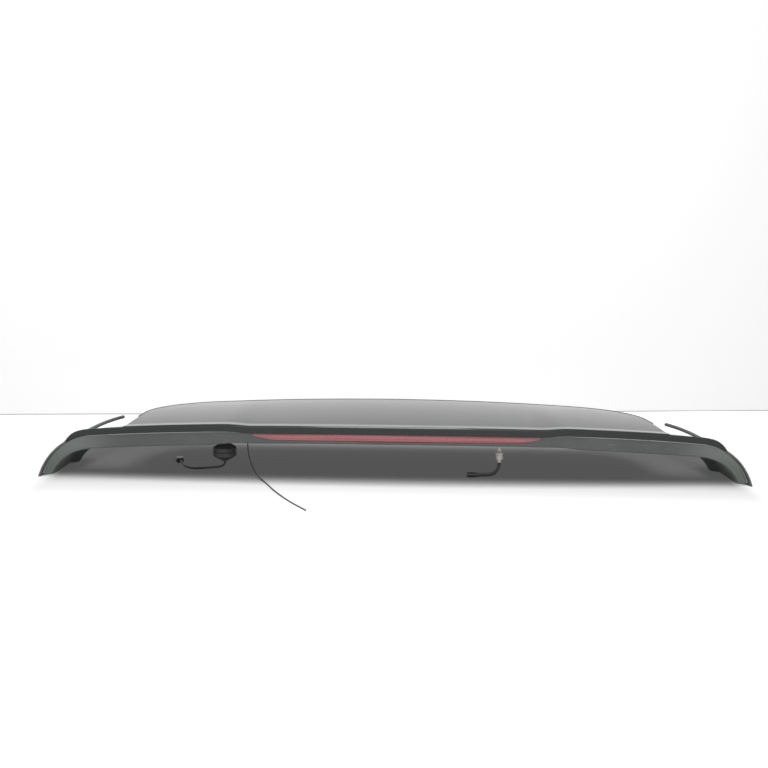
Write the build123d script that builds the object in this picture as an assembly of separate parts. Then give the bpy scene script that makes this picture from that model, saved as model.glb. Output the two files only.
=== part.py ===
"""Roof spoiler for the top of a car's tailgate: two bonded plastic shells, side fins and a third brake lamp.

X runs across the car, +Y points to the front of the car and Z is up. The spoiler stands on the
lower edges of its two ears, with the origin under the middle of its footprint. Millimetres.
"""
from build123d import *
import os
from math import acos, atan, ceil, cos, degrees, radians, sin, tan

# Overall plan, measured forward from the middle of the trailing edge
PANEL_DEPTH = 254.0
PANEL_SIDE_REAR = 453.0
PANEL_SIDE_FRONT = 445.0
PANEL_CORNER_R = 105.0
BOW = 45.0
BOW_AT = 560.0
BAR_DEPTH = 46.0
SLOT_CORNER_R = 18.0
BAR_FRONT_HEIGHT = 3.2
BAR_SEAT = 0.5
END_ANGLE = 30.0
END_ROUND = 14.0
END_HEIGHT = 4.8
END_CORNER_R = 16.0

# Heights of the trailing edge and of the top panel
EDGE_HEIGHT = 105.0
CROWN_DROP = 16.0
CROWN_AT = 480.0
CROWN_POWER = 2.6
SCOOP_DEPTH = 3.2
SCOOP_LAP = 4.0
SCOOP_RUN = 48.0
FRONT_HEIGHT = 112.6
FRONT_DROP = 16.0
FRONT_DROP_AT = 440.0
PANEL_BULGE = 4.5
FLICK_RISE = 2.6
FLICK_RUN = 26.0

# Upper shell section
UPPER_WALL = 3.0
BAND_HEIGHT = 12.6
BAND_LEAN = 2.0
EDGE_R = 2.6
RETURN_WIDTH = 19.0
SKIRT_GAP = 0.3

# Lower shell section
LOWER_WALL = 2.8
SEAM_GAP = 0.3
LIP_SETBACK = 3.5
LIP_LEAN = 8.0
LIP_LEAN_EAR = 20.0
LIP_MIDDLE = 19.0
LIP_SIDE = 24.5
LIP_TIP = 13.0
LIP_RUN = 40.0
FLANGE_WIDTH = 22.0
LIP_EDGE_R = 4.0
LIP_EDGE_R_EAR = 5.0
UNDERSIDE_RISE = 3.0
PAD_START = 150.0
PAD_RAMP = 12.0
PAD_STEP = 10.0
PAD_END = 214.0
FRONT_WALL_RUN = 14.0
FRONT_FLANGE = 18.0
FRONT_BOND_GAP = 0.3
SIDE_INSET = 2.0

# Ears and side fins
EAR_START = 505.0
EAR_RADIUS = 110.0
EAR_INNER_X = 541.0
EAR_DEPTH = 168.0
FIN_THICKNESS = 3.0
FIN_GAP = 0.3
FIN_TOP_GAP = 1.6
FIN_TAIL = 2.0
FIN_LAP = 8.0
FIN_CORNER_R = 34.0
TIP_NOTCH_RISE = 7.0
TIP_NOTCH_RUN = 13.0
HORN_R = 3.2
HORN_ROOT_ANGLE = 37.0
HORN_ROOT_Y = 130.0
HORN_END = (524.0, 249.0, 69.0)
HORN_BOW = 3.0

# Third brake lamp
LENS_HALF = 236.0
LENS_FLAT_HALF = 190.0
LENS_HEIGHT = 12.6
LENS_SWEEP_X = 0.62
LENS_SWEEP_Z = 0.3
LENS_TIP = 1.6
LENS_TOP_GAP = 0.5
LENS_RECESS = 0.3
LENS_THICKNESS = 4.0
LENS_CLEARANCE = 0.5
GASKET_LAP = 3.0
GASKET_LAP_LOW = 1.6
GASKET_RECESS = 0.8
LAMP_FIT = 0.2
HOUSING_DEPTH = 20.0
HOUSING_WALL = 1.6
LAMP_END_WALL = 8.0
HOUSING_CLEARANCE = 0.4
BOARD_THICKNESS = 1.2
LED_COUNT = 12
LED_PITCH = 34.0
LED_SIZE = 4.0
LED_HEIGHT = 1.6
LUG_X = 150.0
LUG_WIDTH = 14.0
LUG_LENGTH = 14.0
LUG_THICKNESS = 2.5
LAMP_SCREW_R = 1.8
LAMP_SCREW_HEAD_R = 3.6
LAMP_SCREW_HEAD = 2.4
LAMP_SCREW_DEPTH = 5.0
LUG_BOSS_R = 5.0
LUG_BOSS_RISE = 2.0

# Fixings to the tailgate
STUD_Y = 186.0
STUD_INNER_X = 150.0
STUD_OUTER_X = 370.0
STUD_R = 3.0
STUD_LENGTH = 19.0
STUD_SHOULDER_R = 3.6
STUD_SHOULDER = 4.5
STUD_COLLAR_R = 8.0
STUD_COLLAR = 2.5
STUD_CLEARANCE = 0.1
STUD_BOSS_R = 16.0
BOSS_HEIGHT = 8.0
BOSS_DROP = 2.0
FOAM_R = 14.5
FOAM_THICKNESS = 4.0
FOAM_BORE_GAP = 0.4
PEG_X = 260.0
PEG_R = 4.5
PEG_LENGTH = 16.0
PEG_TAPER = 5.0
PEG_TIP_R = 2.5
PEG_FLANGE_R = 9.0
PEG_FLANGE = 2.0
PEG_STEM_R = 3.0
PEG_STEM = 7.0
PEG_BOSS_R = 11.0
BUFFER_X = 425.0
BUFFER_Y = 128.0
BUFFER_R = 8.0
BUFFER_HEIGHT = 7.0
BUFFER_STEM_R = 2.6
BUFFER_STEM = 6.0
BUFFER_BOSS_R = 10.0
PUSH_CLEARANCE = 0.1

# Seal round the front and sides of the top panel
SEAL_WIDTH = 2.4
SEAL_HEIGHT = 5.0

# Fin screws, through the fin into the ear's outer flange
FIN_SCREW_R = 2.0
FIN_SCREW_HEAD_R = 4.5
FIN_SCREW_HEAD = 2.2
FIN_SCREW_ANGLES = (33.0, 47.0)
FIN_SCREW_Y = 16.0
FIN_SCREW_DEPTH = 6.5

# Wiring boot, lamp lead and its plug
BOOT_X = -298.0
BOOT_Y = 104.0
BOOT_FLANGE_R = 13.0
BOOT_FLANGE = 3.0
BOOT_NECK_R = 8.0
BOOT_NECK = 10.0
BOOT_R = 20.0
BOOT_SHOULDER = 7.0
BOOT_RIM = 15.0
BOOT_GROOVE = 1.8
BOOT_TAPER = 9.0
BOOT_OUTLET_R = 5.0
BOOT_BOSS_R = 15.0
LEAD_DIAMETER = 3.6
PLUG_LENGTH = 19.0
PLUG_WIDTH = 12.0
PLUG_HEIGHT = 9.0
PLUG_NECK = 4.0
PLUG_NECK_R = 3.4
PLUG_EDGE_R = 1.5
LEAD_ROUTE = (
    (-298.0, 104.0, 14.6),
    (-303.0, 104.0, 9.8),
    (-313.0, 104.6, 7.6),
    (-326.0, 106.2, 6.2),
    (-339.0, 109.0, 4.4),
    (-351.5, 113.0, 2.7),
    (-363.0, 119.5, 2.0),
    (-373.5, 129.0, 2.1),
    (-381.5, 141.0, 3.0),
    (-387.0, 152.5, 4.5),
)
LEAD_END = (-391.0, 161.5, 4.5)

# Aerial lead and its bush
WIRE_X = -254.0
WIRE_Y = 82.0
WIRE_DIAMETER = 2.2
BUSH_R = 6.0
BUSH_HEIGHT = 5.0
BUSH_TIP_R = 3.0
BUSH_BOSS_R = 8.0
WIRE_ROUTE = (
    (-254.0, 82.0, 52.0),
    (-253.0, 80.4, 41.6),
    (-250.3, 77.0, 31.0),
    (-246.0, 71.6, 21.0),
    (-239.8, 63.8, 12.0),
    (-231.5, 53.0, 5.4),
    (-222.5, 39.5, 2.2),
    (-213.5, 22.5, 1.3),
    (-204.5, 2.0, 1.2),
    (-193.5, -23.0, 1.2),
    (-180.0, -50.0, 1.2),
    (-165.0, -77.0, 1.2),
    (-149.0, -103.0, 1.2),
)
WIRE_END = (-133.0, -126.0, 1.2)

# Washer hose with its valve and coupling
HOSE_X = 180.0
HOSE_Y = 92.0
HOSE_DIAMETER = 5.6
HOSE_BUSH_R = 8.0
HOSE_BUSH_TIP_R = 5.0
HOSE_BOSS_R = 10.0
VALVE_R = 6.5
VALVE_LENGTH = 17.0
VALVE_TAPER = 3.0
VALVE_NECK_R = 3.4
VALVE_NECK = 17.0
VALVE_TAIL = 3.5
COUPLING_LENGTH = 20.0
COUPLING_R = 4.6
COUPLING_COLLAR = 6.0
COUPLING_COLLAR_R = 3.6
HOSE_ROUTE = (
    (180.0, 92.0, 20.4),
    (178.2, 91.6, 14.6),
    (174.7, 90.9, 9.6),
    (169.6, 90.0, 6.2),
    (163.6, 89.0, 4.6),
    (157.4, 88.1, 4.4),
    (151.2, 87.6, 4.6),
)
HOSE_END = (145.0, 87.6, 4.6)

REAR_Y = -(PANEL_DEPTH + SEAL_WIDTH) / 2
SCOOP_INNER = LENS_HALF - SCOOP_LAP
SCOOP_OUTER = SCOOP_INNER + SCOOP_RUN
FAR = 2000.0
STATION_SPACING = 36.0


def fore(distance):
    """Y of a place that lies this far forward of the middle of the trailing edge."""
    return REAR_Y + distance


def ramp(value, start, end):
    """Smooth step from 0 at start to 1 at end."""
    t = min(max((value - start) / (end - start), 0.0), 1.0)
    return t * t * (3 - 2 * t)


def seam_height(x):
    """Height of the joint between the shells, as far out as the ears."""
    scoop = SCOOP_DEPTH * (1 - ramp(abs(x), SCOOP_INNER, SCOOP_OUTER))
    drop = CROWN_DROP * (abs(x) / CROWN_AT) ** CROWN_POWER
    return EDGE_HEIGHT - drop - scoop - BAND_HEIGHT


def trailing_edge(x):
    """Y of the bowed trailing edge."""
    return fore(BOW * (x / BOW_AT) ** 2)


EAR_SLOPE = atan(seam_height(EAR_START - 0.5) - seam_height(EAR_START + 0.5))
EAR_TOP = seam_height(EAR_START)
FLOOR_ANGLE = degrees(acos(cos(EAR_SLOPE) - EAR_TOP / EAR_RADIUS))


class Station:
    """One cross-section plane: a joint point of the arch, and the outward direction there."""

    def __init__(self, x, z, tilt):
        self.x = x
        self.z = z
        self.tilt = tilt
        self.edge = trailing_edge(x)

    def at(self, forward, outward):
        """Point this far forward of the trailing edge and this far out of the arch."""
        return Vector(
            self.x + outward * sin(self.tilt),
            self.edge + forward,
            self.z + outward * cos(self.tilt),
        )

    def reach(self, y):
        """Distance forward of this station's trailing edge to a given Y."""
        return y - self.edge


def level_station(x):
    """Station on the crown, upright over the panel and leaning over to meet the ear."""
    lean = EAR_SLOPE * ramp(abs(x), PANEL_SIDE_REAR, EAR_START)
    return Station(x, seam_height(x), lean if x >= 0 else -lean)


def ear_station(side, angle):
    """Station on the ear's arc, where the arch slopes down at this angle in degrees."""
    turn = radians(angle)
    x = EAR_START + EAR_RADIUS * (sin(turn) - sin(EAR_SLOPE))
    z = EAR_TOP - EAR_RADIUS * (cos(EAR_SLOPE) - cos(turn))
    return Station(side * x, z, side * turn)


def level_stations(limit):
    """Evenly spaced stations of the crown from one side to the other, as far out as the limit."""
    steps = ceil(limit / STATION_SPACING)
    return [level_station(limit * i / steps) for i in range(-steps, steps + 1)]


def arch_stations(last_angle, steps):
    """Stations of the whole arch, from ear to ear, down to this angle of the ears."""
    first = degrees(EAR_SLOPE)
    angles = [first + (last_angle - first) * (i + 1) / steps for i in range(steps)]
    left = [ear_station(-1, a) for a in reversed(angles)]
    right = [ear_station(1, a) for a in angles]
    return left + level_stations(EAR_START) + right


def ear_share(station):
    """How far down the ear a station lies, from 0 on the crown to 1 at the floor."""
    return ramp(degrees(abs(station.tilt)), degrees(EAR_SLOPE), FLOOR_ANGLE)


def lip_height(station):
    """Height of the lip: lower under the lamp, tall beside it, and small at the tips of the ears."""
    beside = LIP_MIDDLE + (LIP_SIDE - LIP_MIDDLE) * ramp(abs(station.x), SCOOP_INNER, SCOOP_OUTER + LIP_RUN)
    return beside + (LIP_TIP - beside) * ear_share(station)


def lip_lean(station):
    """How far forward the lip's face leans: it lies back on the ears."""
    return LIP_LEAN + (LIP_LEAN_EAR - LIP_LEAN) * ear_share(station)


def lip_edge_r(station):
    """Radius under the lip, which fades into the ears."""
    return LIP_EDGE_R + (LIP_EDGE_R_EAR - LIP_EDGE_R) * ear_share(station)


def band_height(station):
    """Height of the rear band, which rounds off towards its ends."""
    past = max(degrees(abs(station.tilt)) - (END_ANGLE - END_ROUND), 0.0) / END_ROUND
    return BAND_HEIGHT - (BAND_HEIGHT - END_HEIGHT) * past ** 2


def panel_height(x, y):
    """Height of the top panel's outer face over the joint, for a station of the crown."""
    front = FRONT_HEIGHT - FRONT_DROP * (x / FRONT_DROP_AT) ** 2
    rear = seam_height(x) + BAND_HEIGHT
    share = (y - trailing_edge(x)) / (fore(PANEL_DEPTH) - trailing_edge(x))
    flick = FLICK_RISE * ramp(y - trailing_edge(x), 0.0, FLICK_RUN)
    return rear + (front - rear) * share + 4 * PANEL_BULGE * share * (1 - share) - flick - seam_height(x)


def panel_rise(station, y):
    """Outward distance of the top panel at this station: the ears keep the crown's last shape."""
    return panel_height(min(abs(station.x), EAR_START), y)


def closed_face(points):
    return make_face(Polyline(*points, close=True))


def rear_band(station, height):
    """Outer face of the band and the round edge above it, as edges from low to high."""
    low = station.at(BAND_LEAN, 0)
    high = station.at(BAND_LEAN * EDGE_R / BAND_HEIGHT, height - EDGE_R)
    corner = station.at(EDGE_R * 0.32, height - EDGE_R * 0.26)
    return low, high, corner


def upper_profile(station):
    """Top panel, rear band and the return flange that the lower shell is bonded to."""
    wall = UPPER_WALL
    front = station.reach(fore(PANEL_DEPTH + 20))
    rows = [FLICK_RUN / 2, FLICK_RUN] + [FLICK_RUN + (front - FLICK_RUN) * i / 4 for i in range(1, 5)]

    def top(forward, depth):
        return station.at(forward, panel_rise(station, station.edge + forward) - depth)

    outer_low, outer_high, corner = rear_band(station, BAND_HEIGHT)
    inner_high = station.at(wall + EDGE_R * 0.4, BAND_HEIGHT - wall)
    inner_low = station.at(BAND_LEAN + wall, wall)
    edges = [
        Line(outer_low, outer_high),
        ThreePointArc(outer_high, corner, top(EDGE_R, 0)),
        Spline(top(EDGE_R, 0), *[top(row, 0) for row in rows]),
        Line(top(front, 0), top(front, wall)),
        Spline(*[top(row, wall) for row in reversed(rows)], inner_high),
        Line(inner_high, inner_low),
        Line(inner_low, station.at(RETURN_WIDTH, wall)),
        Line(station.at(RETURN_WIDTH, wall), station.at(RETURN_WIDTH, 0)),
        Line(station.at(RETURN_WIDTH, 0), outer_low),
    ]
    return make_face(edges)


def bar_profile(station):
    """Solid bar beside the panel: the band's height at the rear, falling to a thin front edge."""
    height = band_height(station)
    front = BAR_DEPTH + SLOT_CORNER_R + 4

    def top(forward):
        left = 1 - forward / BAR_DEPTH
        return station.at(forward, BAR_FRONT_HEIGHT + (height - BAR_FRONT_HEIGHT) * left * left)

    _, outer_high, corner = rear_band(station, height)
    outer_low = station.at(BAND_LEAN, BAR_SEAT)
    return make_face([
        Line(outer_low, outer_high),
        ThreePointArc(outer_high, corner, top(EDGE_R)),
        ThreePointArc(top(EDGE_R), top(BAR_DEPTH * 0.45), top(BAR_DEPTH)),
        Line(top(BAR_DEPTH), station.at(front, BAR_FRONT_HEIGHT)),
        Line(station.at(front, BAR_FRONT_HEIGHT), station.at(front, BAR_SEAT)),
        Line(station.at(front, BAR_SEAT), outer_low),
    ])


def skirt_profile(station):
    """Room under the top panel, from the joint up into the panel's wall."""
    front = station.reach(bar_front() + 2 * SLOT_CORNER_R)
    rear = BAND_LEAN + UPPER_WALL / 2
    rows = [rear + (front - rear) * i / 4 for i in range(5)]
    depth = UPPER_WALL / 2
    top = [station.at(row, panel_rise(station, station.edge + row) - depth) for row in rows]
    return closed_face([station.at(rear, BAR_SEAT)] + top + [station.at(front, BAR_SEAT)])


def bar_stations(side, last_angle):
    """Stations of one bar, from just inside the panel's side to this angle of the ear."""
    first = degrees(EAR_SLOPE)
    inner = PANEL_SIDE_FRONT - 5
    level = [level_station(side * (inner + (EAR_START - inner) * i / 4)) for i in range(5)]
    steps = 4
    return level + [ear_station(side, first + (last_angle - first) * (i + 1) / steps) for i in range(steps)]


def offset_path(points, distance):
    """Open path of (forward, outward) points moved to its left by a distance, with mitred corners."""
    directions = []
    for (a, b), (c, d) in zip(points, points[1:]):
        length = ((c - a) ** 2 + (d - b) ** 2) ** 0.5
        directions.append(((c - a) / length, (d - b) / length))
    moved = []
    for i, (a, b) in enumerate(points):
        before = directions[max(i - 1, 0)]
        after = directions[min(i, len(directions) - 1)]
        nx, ny = -(before[1] + after[1]), before[0] + after[0]
        scale = distance * 2 / (nx * nx + ny * ny)
        moved.append((a + nx * scale, b + ny * scale))
    return moved


def lip_line(station):
    """Top and bottom of the lip's outer face."""
    return (LIP_SETBACK, -SEAM_GAP), (LIP_SETBACK + lip_lean(station), -lip_height(station))


def underside_depth(station, y):
    """Distance from the joint in to the underside's outer face, between the lip and the pads."""
    start = LIP_SETBACK + lip_lean(station) + lip_edge_r(station)
    share = (station.reach(y) - start) / (station.reach(fore(PAD_START)) - start)
    return lip_height(station) - UNDERSIDE_RISE * share


def underside_height(x, y):
    """Height of the underside's outer face at a place under the panel, pads included."""
    station = level_station(x)
    if y > fore(PAD_START):
        return station.z - underside_depth(station, fore(PAD_START)) - PAD_STEP
    return station.z - underside_depth(station, y)


def lower_path(station):
    """Outer face of the lower shell: flange, lip, underside, pad for the studs, front wall and flange."""
    top, bottom = lip_line(station)
    height = lip_height(station)
    slope = lip_lean(station) / (height - SEAM_GAP)
    edge_r = lip_edge_r(station)
    pad_start = station.reach(fore(PAD_START))
    pad_depth = underside_depth(station, fore(PAD_START)) + PAD_STEP
    wall_start = station.reach(fore(PAD_END))
    wall_end = wall_start + FRONT_WALL_RUN
    flange_end = wall_end + FRONT_FLANGE

    def under_panel(forward):
        return panel_rise(station, station.edge + forward) - UPPER_WALL - FRONT_BOND_GAP - LOWER_WALL

    return [
        (LIP_SETBACK + FLANGE_WIDTH, -SEAM_GAP),
        top,
        (bottom[0] - slope * edge_r, bottom[1] + edge_r),
        (bottom[0] + edge_r * 0.25, bottom[1] + edge_r * 0.25),
        (bottom[0] + edge_r, bottom[1]),
        (pad_start, PAD_STEP - pad_depth),
        (pad_start + PAD_RAMP, -pad_depth),
        (wall_start, -pad_depth),
        (wall_end, under_panel(wall_end)),
        (flange_end, under_panel(flange_end)),
    ]


def lower_profile(station):
    """Section of the lower shell, one wall thick."""
    outer = lower_path(station)
    inner = offset_path(outer, LOWER_WALL)
    return closed_face([station.at(*p) for p in outer + inner[::-1]])


def plan_block(outline, low=-50.0, high=300.0):
    """Upright block with this plan outline, tall enough to hold the whole spoiler."""
    return Pos(0, 0, low) * extrude(outline, high - low)


def panel_plan(inset):
    """Plan of the top panel: straight front, round front corners and slightly tapered sides."""
    front = fore(PANEL_DEPTH) - inset
    rear = fore(-30)
    outline = Polyline(
        (-PANEL_SIDE_REAR + inset, rear),
        (-PANEL_SIDE_FRONT + inset, front),
        (PANEL_SIDE_FRONT - inset, front),
        (PANEL_SIDE_REAR - inset, rear),
        close=True,
    )
    plan = make_face(outline)
    front_corners = plan.vertices().sort_by(Axis.Y)[-2:]
    return fillet(front_corners, PANEL_CORNER_R - inset)


END_X = ear_station(1, END_ANGLE).at(0, BAND_HEIGHT).X


def bar_front():
    """Y of the front edge of the narrow bars that carry the ears."""
    return trailing_edge(END_X) + BAR_DEPTH


def bar_plan(half_width):
    """Plan of the narrow bars each side of the panel, out to this half width."""
    height = bar_front() - fore(-30)
    return Pos(0, bar_front() - height / 2) * Rectangle(2 * half_width, height)


def soften_slots(plan):
    """Round the inner corners where the bars leave the panel."""
    corners = [v for v in plan.vertices() if abs(v.Y - bar_front()) < 0.01 and abs(v.X) < PANEL_SIDE_REAR + 1]
    return fillet(corners, SLOT_CORNER_R)


def upper_plan():
    plan = soften_slots(panel_plan(0) + bar_plan(END_X))
    ends = [v for v in plan.vertices() if abs(v.Y - bar_front()) < 0.01 and abs(v.X) > END_X - 1]
    return fillet(ends, END_CORNER_R)


def lower_plan():
    wide = soften_slots(panel_plan(SIDE_INSET) + bar_plan(EAR_INNER_X + 1))
    ear_width = 100.0
    height = fore(EAR_DEPTH) - fore(-30)
    ears = [
        Pos(side * (EAR_INNER_X + ear_width / 2), fore(EAR_DEPTH) - height / 2) * Rectangle(ear_width, height)
        for side in (-1, 1)
    ]
    return wide + ears


def below_floor():
    """Everything under the surface that the spoiler stands on."""
    return Pos(0, 0, -100) * Box(FAR, FAR, 200)


def lens_outline(side=0.0, low=0.0, top=0.0, blunt=LENS_TIP):
    """Lamp outline seen from behind: a long band whose lower edge sweeps up to a blunt point at each end.

    The outline can be grown or shrunk at its ends, below and above.
    """
    tip = LENS_HALF + side
    middle_z = seam_height(0) - LENS_TOP_GAP
    end_z = seam_height(LENS_HALF) - LENS_TOP_GAP
    low_z = middle_z - LENS_HEIGHT
    sweep_x = LENS_FLAT_HALF + (LENS_HALF - LENS_FLAT_HALF) * LENS_SWEEP_X + side * 0.75
    sweep_z = low_z + (end_z - low_z) * LENS_SWEEP_Z - low * 0.75
    flat = LENS_FLAT_HALF + side * 0.2
    tip_z = end_z - blunt - low
    low_z -= low
    middle_z += top
    end_z += top
    return make_face([
        ThreePointArc((-tip, end_z), (0, middle_z), (tip, end_z)),
        Line((tip, end_z), (tip, tip_z)),
        ThreePointArc((tip, tip_z), (sweep_x, sweep_z), (flat, low_z)),
        Line((flat, low_z), (-flat, low_z)),
        ThreePointArc((-flat, low_z), (-sweep_x, sweep_z), (-tip, tip_z)),
        Line((-tip, tip_z), (-tip, end_z)),
    ])


def lamp_block(outline):
    """The outline carried fore and aft through the lip."""
    return extrude(Plane.XZ * outline, FAR / 2, both=True)


def lip_layer(start, end, half_width, above=4.0):
    """Layer that follows the lip's face, between two depths behind it."""
    faces = []
    for station in level_stations(half_width):
        top, bottom = lip_line(station)
        lean = (bottom[0] - top[0]) / (top[1] - bottom[1])
        high = above
        low = bottom[1] - 6
        rear_high = top[0] - lean * (high - top[1])
        rear_low = top[0] + lean * (top[1] - low)
        faces.append(closed_face([
            station.at(rear_high + start, high),
            station.at(rear_high + end, high),
            station.at(rear_low + end, low),
            station.at(rear_low + start, low),
        ]))
    return loft(faces)


LIP_WALL_RUN = LOWER_WALL * (1 + (LIP_LEAN / (LIP_MIDDLE - SEAM_GAP)) ** 2) ** 0.5
GASKET_SEAT = LIP_WALL_RUN - GASKET_RECESS
LENS_BACK = LENS_RECESS + LENS_THICKNESS
HOUSING_FRONT = LENS_BACK + LAMP_FIT
HOUSING_BACK = HOUSING_FRONT + HOUSING_DEPTH
LAYER_HALF = LENS_HALF + 12


def make_lamp():
    """Lens, gasket, housing, circuit board and light sources, and the room that they need in the lip."""
    rim = lamp_block(lens_outline(GASKET_LAP, GASKET_LAP_LOW))
    lens = lip_layer(LENS_RECESS, LENS_BACK, LAYER_HALF) & lamp_block(lens_outline())
    gasket = lip_layer(GASKET_SEAT + LAMP_FIT, HOUSING_FRONT - LAMP_FIT / 2, LAYER_HALF) & rim
    gasket = gasket - lamp_block(lens_outline(LENS_CLEARANCE, LENS_CLEARANCE, LENS_TOP_GAP))
    housing = lip_layer(HOUSING_FRONT, HOUSING_BACK, LAYER_HALF) & rim
    hollow = lip_layer(HOUSING_FRONT - 1, HOUSING_BACK - HOUSING_WALL, LAYER_HALF)
    blunt = LENS_TIP + 2 * HOUSING_WALL
    hollow = hollow & lamp_block(lens_outline(-LAMP_END_WALL, -HOUSING_WALL, -HOUSING_WALL, blunt))
    housing = housing - hollow
    board_back = HOUSING_BACK - HOUSING_WALL - LAMP_FIT
    board = lip_layer(board_back - BOARD_THICKNESS, board_back, LAYER_HALF)
    inside = -HOUSING_WALL - LAMP_FIT
    board = board & lamp_block(lens_outline(-LAMP_END_WALL - LAMP_FIT, inside, inside, blunt))
    return lens, gasket, housing, board, board_back - BOARD_THICKNESS


def make_leds(board_face):
    """Row of light sources that stand on the circuit board and face the lens."""
    leds = []
    for i in range(LED_COUNT):
        x = (i - (LED_COUNT - 1) / 2) * LED_PITCH
        station = level_station(x)
        depth = LENS_HEIGHT / 2 + LENS_TOP_GAP
        lean = LIP_LEAN / (lip_height(station) - SEAM_GAP)
        place = station.at(LIP_SETBACK + lean * depth + board_face, -depth)
        turn = degrees(atan(2 * BOW * x / BOW_AT ** 2))
        tip = degrees(atan(lean))
        body = Box(LED_SIZE, LED_HEIGHT, LED_SIZE, align=(Align.CENTER, Align.MAX, Align.CENTER))
        leds.append(Pos(place) * Rot(tip, 0, turn) * Pos(0, -LAMP_FIT, 0) * body)
    return leds


def make_upper():
    """Upper shell: hollow panel, a solid bar to each ear, and skirts that close the panel's sides."""
    shell = loft([upper_profile(s) for s in level_stations(EAR_START)]) & plan_block(panel_plan(0))
    inside = panel_plan(SIDE_INSET - SKIRT_GAP)
    walls_start = bar_front() - LOWER_WALL - 1 - SKIRT_GAP
    walls_room = inside & Pos(0, walls_start) * Rectangle(FAR, FAR, align=(Align.CENTER, Align.MIN))
    plan = plan_block(upper_plan() - walls_room)
    strip = panel_plan(0) - inside
    room = Pos(0, bar_front() + SLOT_CORNER_R) * Rectangle(FAR, FAR, align=(Align.CENTER, Align.MAX))
    for side in (-1, 1):
        bar = loft([bar_profile(s) for s in bar_stations(side, END_ANGLE)])
        near = [level_station(side * x) for x in (PANEL_SIDE_FRONT - 20, PANEL_SIDE_FRONT, PANEL_SIDE_REAR)]
        skirt = loft([skirt_profile(s) for s in near]) & plan_block(strip & room)
        shell = shell + (bar & plan) + skirt
    return shell


def core_profile(station, under_bar=False):
    """Room between the two shells, from just inside the lower wall to just under the panel or the bar."""
    rear = LIP_SETBACK + FLANGE_WIDTH + 4
    pad_start = station.reach(fore(PAD_START))
    wall_start = station.reach(fore(PAD_END))
    wall_end = wall_start + FRONT_WALL_RUN
    bite = LOWER_WALL / 2
    pad = bite - underside_depth(station, fore(PAD_START))

    def under_panel(forward):
        if under_bar:
            return station.at(forward, -2 * FRONT_BOND_GAP)
        rise = panel_rise(station, station.edge + forward)
        return station.at(forward, rise - UPPER_WALL - 2 * FRONT_BOND_GAP)

    low = [
        station.at(rear, bite - underside_depth(station, station.edge + rear)),
        station.at(pad_start, pad),
        station.at(pad_start + PAD_RAMP, pad - PAD_STEP),
        station.at(wall_start, pad - PAD_STEP),
    ]
    rows = [wall_end + (rear - wall_end) * i / 4 for i in range(5)]
    edges = [Line(a, b) for a, b in zip(low, low[1:])]
    edges.append(Line(low[-1], under_panel(wall_end)))
    edges.append(Spline(*[under_panel(row) for row in rows]))
    edges.append(Line(under_panel(rear), low[0]))
    return make_face(edges)


def closing_walls():
    """Upright walls that close the hollow between the shells along the sides of the panel and bars."""
    plan = lower_plan()
    ring = plan - offset(plan, -LOWER_WALL)
    width = 2 * EAR_INNER_X - 20
    room = Pos(0, bar_front() - LOWER_WALL - 1) * Rectangle(width, FAR, align=(Align.CENTER, Align.MIN))
    ring = ring & room
    middle = Rectangle(2 * (PANEL_SIDE_FRONT + 1), FAR)
    core = loft([core_profile(s) for s in level_stations(EAR_START)])
    walls = core & plan_block(ring & panel_plan(SIDE_INSET))
    for side in (-1, 1):
        core = loft([core_profile(s, True) for s in bar_stations(side, END_ANGLE - 4)])
        walls = walls + (core & plan_block(ring - middle))
    return walls


def boss(x, y, radius, bore=0.0):
    """Flat round seat under the lower shell, with its bore, as solid, hole and height of the seat."""
    seat = underside_height(x, y) - BOSS_DROP
    rise = (Align.CENTER, Align.CENTER, Align.MIN)
    solid = Pos(x, y, seat) * Cylinder(radius, BOSS_HEIGHT, align=rise)
    hole = Pos(x, y, seat - 1) * Cylinder(bore, BOSS_HEIGHT + 2, align=rise) if bore else None
    return solid, hole, seat


def turned(x, y, z, outline):
    """Turned piece on an upright axis: outline points are (radius, height), from axis to axis."""
    profile = make_face(Plane.XZ * Polyline(*outline, close=True))
    return Pos(x, y, z) * revolve(profile, Axis.Z)


STUDS = [(side * x, fore(STUD_Y)) for x in (STUD_INNER_X, STUD_OUTER_X) for side in (-1, 1)]
PEGS = [(side * PEG_X, fore(STUD_Y)) for side in (-1, 1)]
BUFFERS = [(side * BUFFER_X, fore(BUFFER_Y)) for side in (-1, 1)]
BOOT = (BOOT_X, fore(BOOT_Y))
BUSH = (WIRE_X, fore(WIRE_Y))
HOSE = (HOSE_X, fore(HOSE_Y))


def seats():
    """Every seat under the lower shell, as (x, y, boss radius, bore radius)."""
    return (
        [(x, y, STUD_BOSS_R, STUD_SHOULDER_R + STUD_CLEARANCE) for x, y in STUDS]
        + [(x, y, PEG_BOSS_R, PEG_STEM_R + PUSH_CLEARANCE) for x, y in PEGS]
        + [(x, y, BUFFER_BOSS_R, BUFFER_STEM_R + PUSH_CLEARANCE) for x, y in BUFFERS]
        + [(*BOOT, BOOT_BOSS_R, 0.0), (*BUSH, BUSH_BOSS_R, 0.0), (*HOSE, HOSE_BOSS_R, 0.0)]
    )


def tip_notch(side):
    """Wedge cut from the ear's inner wall, so that the fin's tip stands behind it."""
    rear = trailing_edge(ear_station(1, FLOOR_ANGLE).x)
    outline = Polyline(
        (rear - 20, -1),
        (rear - 20, TIP_NOTCH_RISE),
        (rear, TIP_NOTCH_RISE),
        (rear + TIP_NOTCH_RUN, -1),
        close=True,
    )
    wedge = extrude(Plane.YZ * make_face(outline), 120)
    return Pos(EAR_INNER_X, 0, 0) * wedge if side > 0 else Pos(-EAR_INNER_X - 120, 0, 0) * wedge


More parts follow.
